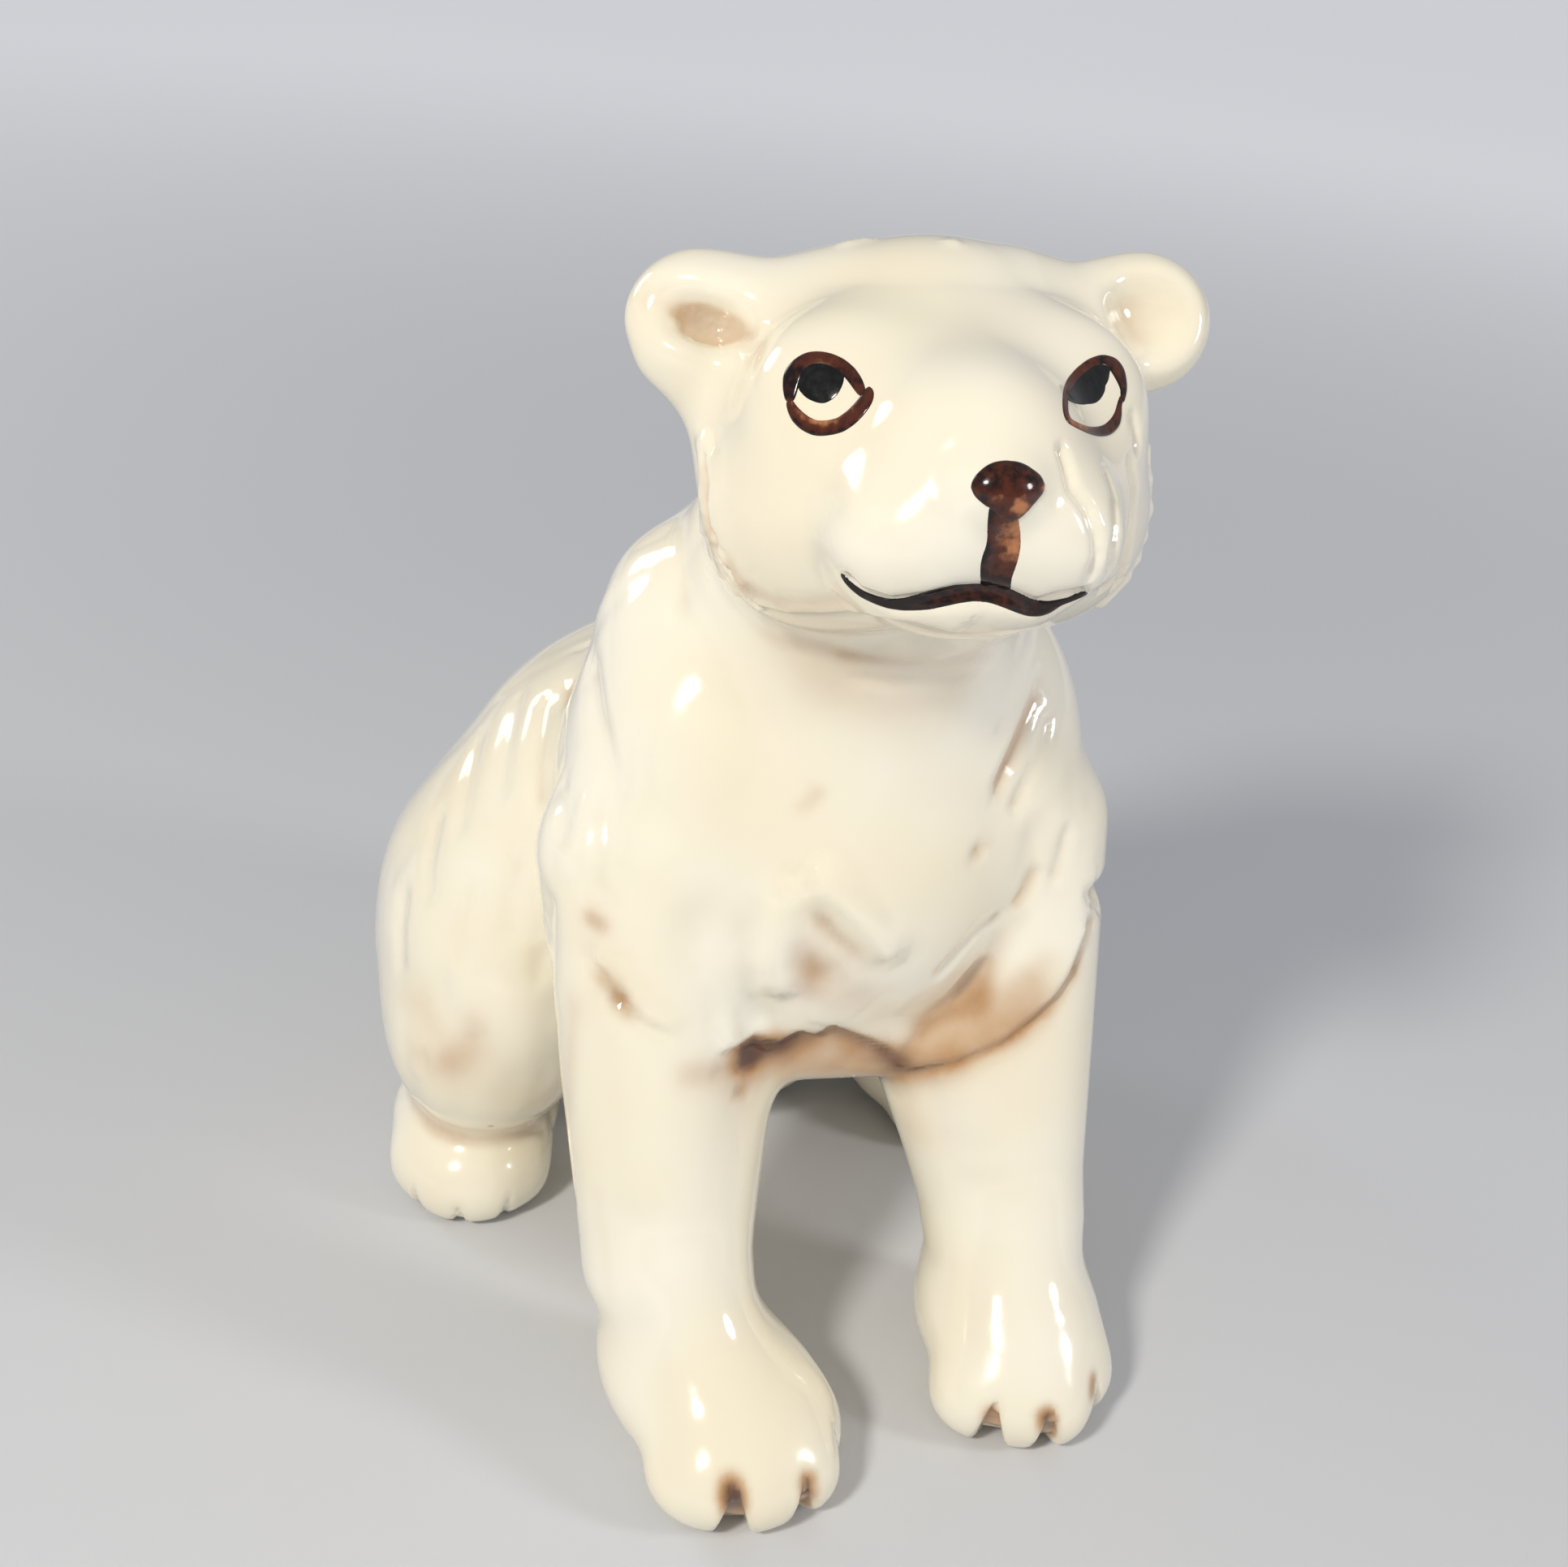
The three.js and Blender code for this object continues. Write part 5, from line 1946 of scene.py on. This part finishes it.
class Nodes:
    """Builds one node tree: adds nodes, sets their sockets and joins them."""

    def __init__(self, tree: bpy.types.NodeTree) -> None:
        """Starts from an empty tree."""
        self.tree = tree
        tree.nodes.clear()

    def add(self, kind: str, settings: dict | None = None, **inputs: object) -> bpy.types.Node:
        """Adds a node, with its settings, and its inputs as values or as links.

        Args:
            kind: The node's type.
            settings: Values for the node's own properties.
            inputs: Values or output sockets, by the input's name with _ for a space.

        Returns:
            The node.
        """
        node = self.tree.nodes.new(kind)
        for key, value in (settings or {}).items():
            setattr(node, key, value)
        for key, value in inputs.items():
            self.feed(node, key.replace("_", " ").strip(), value)
        return node

    def feed(self, node: bpy.types.Node, name: str | int, value: object) -> None:
        """Sets or links one input of a node.

        Args:
            node: The node.
            name: The input's name or number.
            value: A value, or an output to link.
        """
        socket = node.inputs[name]
        if isinstance(value, bpy.types.NodeSocket):
            self.tree.links.new(value, socket)
        else:
            socket.default_value = value

    def math(self, operation: str, *values: object, clamp: bool = False) -> bpy.types.NodeSocket:
        """One arithmetic step on values.

        Args:
            operation: The step.
            values: Its values, or outputs to link.
            clamp: Whether to keep the result from 0 to 1.

        Returns:
            The result.
        """
        node = self.tree.nodes.new("ShaderNodeMath")
        node.operation, node.use_clamp = operation, clamp
        for n, value in enumerate(values):
            self.feed(node, n, value)
        return node.outputs[0]

    def ramp(self, value: object, low: float, high: float, to: Pair = (0, 1)) -> bpy.types.NodeSocket:
        """A value carried smoothly from one range to another, and held at its ends.

        Args:
            value: What to carry over.
            low: Where the first range starts.
            high: Where it ends.
            to: The second range.

        Returns:
            The result.
        """
        node = self.add("ShaderNodeMapRange", {"interpolation_type": "SMOOTHSTEP"})
        for n, item in enumerate((value, low, high, *to)):
            self.feed(node, n, item)
        return node.outputs[0]

    def mix(self, share: object, a: object, b: object) -> bpy.types.NodeSocket:
        """A mix of two colours.

        Args:
            share: The second colour's share.
            a: The first colour.
            b: The second colour.

        Returns:
            The mixed colour.
        """
        node = self.add("ShaderNodeMix", {"data_type": "RGBA"})
        for n, item in ((0, share), (6, a), (7, b)):
            self.feed(node, n, item)
        return node.outputs[2]

    def noise(self, place: object, scale: object, detail: float) -> bpy.types.NodeSocket:
        """A soft noise over a place, from 0 to 1."""
        return self.add("ShaderNodeTexNoise", Vector=place, Scale=scale, Detail=detail).outputs[0]

    def shared(self, tree: bpy.types.NodeTree, **inputs: object) -> bpy.types.NodeSocket:
        """What a shared node group puts out, with its inputs given."""
        return self.add("ShaderNodeGroup", {"node_tree": tree}, **inputs).outputs[0]


def colour(red: float, green: float, blue: float) -> tuple[float, float, float, float]:
    """A colour given as it shows on a screen, from 0 to 255, for a shader socket.

    Args:
        red: From 0 to 255.
        green: From 0 to 255.
        blue: From 0 to 255.

    Returns:
        The linear colour, with its alpha.
    """
    linear = [
        c / 255 / 12.92 if c / 255 <= 0.04045 else ((c / 255 + 0.055) / 1.055) ** 2.4
        for c in (red, green, blue)
    ]
    return (*linear, 1.0)


def group(
    name: str, inputs: dict[str, str], outputs: dict[str, str]
) -> tuple[Nodes, bpy.types.Node, bpy.types.Node]:
    """Starts a shader node group.

    Args:
        name: The group's name.
        inputs: Socket types of its inputs by name.
        outputs: Socket types of its outputs by name.

    Returns:
        The group's nodes, its input node and its output node.
    """
    tree = bpy.data.node_groups.new(name, "ShaderNodeTree")
    for way, sockets in (("INPUT", inputs), ("OUTPUT", outputs)):
        for socket, kind in sockets.items():
            tree.interface.new_socket(socket, in_out=way, socket_type=f"NodeSocket{kind}")
    nodes = Nodes(tree)
    return nodes, nodes.add("NodeGroupInput"), nodes.add("NodeGroupOutput")


def speckle_group() -> bpy.types.NodeTree:
    """Sparse pin-prick specks, as a mask: Place, Scale and Share in, Mask out.

    Returns:
        The group.
    """
    nodes, given, result = group(
        "specks", {"Place": "Vector", "Scale": "Float", "Share": "Float"}, {"Mask": "Float"}
    )
    place, scale = given.outputs["Place"], given.outputs["Scale"]
    cells = nodes.add("ShaderNodeTexVoronoi", Vector=place, Scale=scale)
    chosen = nodes.add("ShaderNodeSeparateColor", Color=cells.outputs["Color"])
    dot = nodes.ramp(cells.outputs["Distance"], 0.08, 0.22, (1, 0))
    rare = nodes.math("LESS_THAN", chosen.outputs[0], given.outputs["Share"])
    nodes.feed(result, "Mask", nodes.math("MULTIPLY", dot, rare))
    return nodes.tree


def waver_group() -> bpy.types.NodeTree:
    """The slow waver of a fired glaze, as a height: Place and Scale in, Height out.

    Returns:
        The group.
    """
    nodes, given, result = group("glaze_waver", {"Place": "Vector", "Scale": "Float"}, {"Height": "Float"})
    place, scale = given.outputs["Place"], given.outputs["Scale"]
    slow = nodes.noise(place, scale, 1)
    quick = nodes.noise(place, nodes.math("MULTIPLY", scale, 4.0), 2)
    nodes.feed(result, "Height", nodes.math("MULTIPLY_ADD", quick, 0.2, slow))
    return nodes.tree


def started(name: str) -> tuple[bpy.types.Material, Nodes, bpy.types.NodeSocket]:
    """Starts a material.

    Args:
        name: The material's name.

    Returns:
        The material, its nodes and the place on the piece.
    """
    material = bpy.data.materials.new(name)
    material.use_nodes = True
    nodes = Nodes(material.node_tree)
    return material, nodes, nodes.add("ShaderNodeTexCoord").outputs["Object"]


@dataclass(frozen=True)
class Waver:
    """How finely, how strongly and how deep in metres the surface of a fired coat wavers."""

    scale: float
    strength: float
    depth: float

    def normal(self, nodes: Nodes, tree: bpy.types.NodeTree, place: object) -> bpy.types.NodeSocket:
        """The coat's wavering normal.

        Args:
            nodes: The material's nodes.
            tree: The shared group that gives the waver's height.
            place: The place on the piece.

        Returns:
            The normal.
        """
        height = nodes.shared(tree, Place=place, Scale=self.scale)
        bump = nodes.add("ShaderNodeBump", Strength=self.strength, Distance=self.depth, Height=height)
        return bump.outputs[0]


@dataclass(frozen=True)
class GlazeFinish:
    """Creamy glaze on a white body, paler in soft clouds, tan where glaze gathers and where shade is
    painted in.

    It turns to the tan of gathering glaze and painted shade, and then to the dark brown of painted shadow,
    over two ranges of their amount, and to bare bisque over a range of height in metres.
    """

    name: str = "glazed_porcelain"
    thin: tuple = colour(251, 246, 230)
    body: tuple = colour(246, 236, 210)
    # Tan of glaze gathering in creases, partly painted shade; then a dark brown that is painted shadow.
    pooled_and_shade: tuple = colour(192, 148, 102)
    deep_shade: tuple = colour(92, 56, 34)
    speck: tuple = colour(120, 92, 62)
    bisque: tuple = colour(236, 230, 218)
    cloud_scale: float = 45
    cloud_range: Pair = (0.3, 0.75)
    uneven_scale: float = 260
    uneven: Pair = (0.5, 0.75)
    pooled_and_shade_range: Pair = (0.02, 1.1)
    pooled_and_shade_most: float = 0.95
    deep_shade_range: Pair = (0.85, 1.8)
    speck_scale: float = 420
    speck_share: float = 0.0025
    speck_strength: float = 0.5
    bare_range: Pair = (0.0003, 0.0008)
    bare_rough: float = 0.5
    gloss_scale: float = 90
    gloss_range: Pair = (0.3, 0.8)
    rough: Pair = (0.1, 0.2)
    waver: Waver = Waver(160, 0.25, 0.00025)

    def make(self, groups: dict[str, bpy.types.NodeTree]) -> bpy.types.Material:
        """Builds the material.

        Args:
            groups: The shared node groups by name.

        Returns:
            The material.
        """
        material, nodes, place = started(self.name)
        pool_and_shade = nodes.add("ShaderNodeAttribute", {"attribute_name": "pool_and_shade"}).outputs["Fac"]
        cloud = nodes.ramp(nodes.noise(place, self.cloud_scale, 2), *self.cloud_range)
        broad = nodes.mix(cloud, self.body, self.thin)
        uneven = nodes.math("MULTIPLY_ADD", nodes.noise(place, self.uneven_scale, 3), *self.uneven)
        # Gathering glaze and painted shade darken the glaze to tan, and the deepest marks to the dark
        # brown of painted shadow.
        deep = nodes.ramp(pool_and_shade, *self.pooled_and_shade_range, (0, self.pooled_and_shade_most))
        tinted = nodes.mix(nodes.math("MULTIPLY", deep, uneven, clamp=True), broad, self.pooled_and_shade)
        tinted = nodes.mix(nodes.ramp(pool_and_shade, *self.deep_shade_range), tinted, self.deep_shade)
        given = {"Place": place, "Scale": self.speck_scale, "Share": self.speck_share}
        specks = nodes.math("MULTIPLY", nodes.shared(groups["specks"], **given), self.speck_strength)
        height = nodes.add("ShaderNodeSeparateXYZ", Vector=place).outputs["Z"]
        bare = nodes.ramp(height, *self.bare_range, (1, 0))
        gloss = nodes.ramp(nodes.noise(place, self.gloss_scale, 2), *self.gloss_range, self.rough)
        shader = nodes.add(
            "ShaderNodeBsdfPrincipled",
            Base_Color=nodes.mix(bare, nodes.mix(specks, tinted, self.speck), self.bisque),
            Roughness=nodes.math("MULTIPLY_ADD", bare, self.bare_rough, gloss),
            IOR=1.5,
            Coat_Weight=0.6,
            Coat_Roughness=0.03,
            Normal=self.waver.normal(nodes, groups["glaze_waver"], place),
        )
        nodes.add("ShaderNodeOutputMaterial", Surface=shader.outputs[0])
        return material


@dataclass(frozen=True)
class EnamelFinish:
    """Brushed enamel: darkest where it is thick, and glassy all over."""

    name: str
    thin: tuple
    middle: tuple
    thick: tuple
    rough: float = 0.12
    streak_scale: float = 1500
    streak: float = 0.9
    middle_at: float = 0.45
    thin_at: float = 0.95
    waver: Waver = Waver(700, 0.35, 0.0001)

    def make(self, groups: dict[str, bpy.types.NodeTree]) -> bpy.types.Material:
        """Builds the material.

        Args:
            groups: The shared node groups by name.

        Returns:
            The material.
        """
        material, nodes, place = started(self.name)
        worn = nodes.add("ShaderNodeAttribute", {"attribute_name": "thin"}).outputs["Fac"]
        grain = nodes.noise(place, self.streak_scale, 4)
        streak = nodes.math("MULTIPLY_ADD", grain, self.streak, -self.streak / 2)
        share = nodes.math("ADD", worn, streak, clamp=True)
        dark = nodes.mix(nodes.ramp(share, 0.0, self.middle_at), self.thick, self.middle)
        shader = nodes.add(
            "ShaderNodeBsdfPrincipled",
            Base_Color=nodes.mix(nodes.ramp(share, self.middle_at, self.thin_at), dark, self.thin),
            Roughness=nodes.ramp(streak, -0.2, 0.2, (self.rough, self.rough * 2)),
            IOR=1.5,
            Specular_IOR_Level=0.3,
            Coat_Weight=0.3,
            Coat_Roughness=0.03,
            Normal=self.waver.normal(nodes, groups["glaze_waver"], place),
        )
        nodes.add("ShaderNodeOutputMaterial", Surface=shader.outputs[0])
        return material


BROWN_ENAMEL = EnamelFinish("brown_enamel", colour(186, 122, 80), colour(80, 36, 19), colour(20, 5, 4))
BLACK_ENAMEL = EnamelFinish("black_enamel", colour(62, 62, 52), colour(26, 27, 24), colour(8, 8, 9))


# the studio


@dataclass(frozen=True)
class Lamp:
    """A soft, round lamp, with its place and its size in metres in the row frame."""

    name: str
    at: Triple
    size: float
    power: float
    tint: Triple

    def hang(self, aim: Triple) -> None:
        """Hangs the lamp.

        Args:
            aim: The place that it looks at.
        """
        data = bpy.data.lights.new(self.name, "AREA")
        data.shape, data.size, data.energy, data.color = "DISK", self.size, self.power, self.tint
        lamp = bpy.data.objects.new(self.name, data)
        turn = (Vector(aim) - Vector(self.at)).to_track_quat("-Z", "Y").to_matrix().to_4x4()
        lamp.matrix_world = Matrix.Translation(self.at) @ turn
        bpy.context.scene.collection.objects.link(lamp)


@dataclass
class Studio:
    """A pale floor, soft lamps and the camera.

    The floor glows to the camera and in reflections alone, the more the further from the figurine.
    """

    viewpoint: Viewpoint
    floor_width: float = 6
    floor_cells: int = 24
    floor_tones: tuple = (colour(208, 210, 214), colour(216, 217, 220))
    glow: tuple = colour(238, 239, 242)
    glow_range: Pair = (0.1, 0.9)
    glow_strength: float = 0.42
    surround: tuple = colour(228, 230, 235)
    surround_strength: float = 0.45
    aim: Triple = (0, 0, 0.055)
    lamps: tuple[Lamp, ...] = (
        Lamp("key", (-0.38, -0.30, 0.42), 0.09, 2.2, (1.0, 0.96, 0.88)),
        Lamp("fill", (0.40, -0.32, 0.25), 0.12, 0.8, (1.0, 0.98, 0.98)),
        Lamp("back", (-0.34, 0.38, 0.30), 0.18, 0.3, (1.0, 1.0, 1.0)),
    )

    def floor(self) -> None:
        """Lays a wide, pale floor."""
        cells = self.floor_cells
        bpy.ops.mesh.primitive_grid_add(x_subdivisions=cells, y_subdivisions=cells, size=self.floor_width)
        floor = bpy.context.object
        floor.name = "floor"
        material, nodes, place = started("floor_paper")
        tone = nodes.mix(nodes.noise(place, 3, 1), *self.floor_tones)
        shader = nodes.add("ShaderNodeBsdfPrincipled", Base_Color=tone, Roughness=0.8)
        seen = nodes.add("ShaderNodeLightPath")
        plain = nodes.math("MAXIMUM", seen.outputs["Is Camera Ray"], seen.outputs["Is Glossy Ray"])
        off = nodes.add("ShaderNodeVectorMath", {"operation": "LENGTH"})
        nodes.feed(off, 0, place)
        far = nodes.ramp(off.outputs["Value"], *self.glow_range, (0.0, self.glow_strength))
        glow = nodes.add("ShaderNodeEmission", Color=self.glow)
        nodes.feed(glow, "Strength", nodes.math("MULTIPLY", plain, far))
        both = nodes.add("ShaderNodeAddShader")
        nodes.feed(both, 0, shader.outputs[0])
        nodes.feed(both, 1, glow.outputs[0])
        nodes.add("ShaderNodeOutputMaterial", Surface=both.outputs[0])
        floor.data.materials.append(material)

    def world(self) -> None:
        """A dim, even surround."""
        world = bpy.data.worlds.new("surround")
        bpy.context.scene.world = world
        world.use_nodes = True
        nodes = Nodes(world.node_tree)
        light = nodes.add("ShaderNodeBackground", Color=self.surround, Strength=self.surround_strength)
        nodes.add("ShaderNodeOutputWorld", Surface=light.outputs[0])

    def build(self) -> None:
        """Sets the whole studio up."""
        self.floor()
        for lamp in self.lamps:
            lamp.hang(self.aim)
        self.world()
        self.viewpoint.camera()
        bpy.context.scene.view_settings.view_transform = "Standard"


def wear(obj: bpy.types.Object, material: bpy.types.Material) -> None:
    """Gives an object one material."""
    obj.data.materials.clear()
    obj.data.materials.append(material)


def register(obj: bpy.types.Object, node: str, slot: Slot) -> None:
    """Rides a finished piece on the body, in place of its CAD node.

    Args:
        obj: The piece.
        node: The CAD node that it replaces.
        slot: Its material slot, which is not used.
    """
    obj.name = obj.data.name = f"finished_{node}"
    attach(obj, BODY)
    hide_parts(node)
    log.info("%s: %d faces", obj.name, len(obj.data.polygons))


def main() -> None:
    """Builds the figurine piece by piece and sets the studio up round it."""
    logging.basicConfig(level=logging.INFO, format="%(message)s")
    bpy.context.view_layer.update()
    groups = {"specks": speckle_group(), "glaze_waver": waver_group()}
    finishes = {
        Slot.GLAZE: GlazeFinish().make(groups),
        Slot.BROWN: BROWN_ENAMEL.make(groups),
        Slot.BLACK: BLACK_ENAMEL.make(groups),
    }
    clay = Clay()
    skin = clay.build()
    viewpoint = Viewpoint()
    modeller = Modeller(viewpoint, skin)
    Fur(modeller).build()
    modeller.strokes([*FACE, *NECK, *CHEST, *LEGS, *HAUNCH])
    # Gathering glaze and painted shade, written onto the skin.
    PoolAndShade().build(modeller)
    skin.data.shade_smooth()
    seams = Seams(clay)
    castings = seams.part(skin)
    surface = BVHTree.FromObject(skin, bpy.context.evaluated_depsgraph_get())
    for node, piece in castings.items():
        seams.heal(piece, surface, skin)
        wear(piece, finishes[Slot.GLAZE])
        register(piece, node, Slot.SLIP if node.endswith("slip") else Slot.GLAZE)
    for node, piece in Painter(viewpoint, surface).build().items():
        slot = Slot.BLACK if node.endswith("pupil") else Slot.BROWN
        wear(piece, finishes[slot])
        register(piece, node, slot)
    discard(skin)
    Studio(viewpoint).build()


if __name__ == "__main__":
    main()
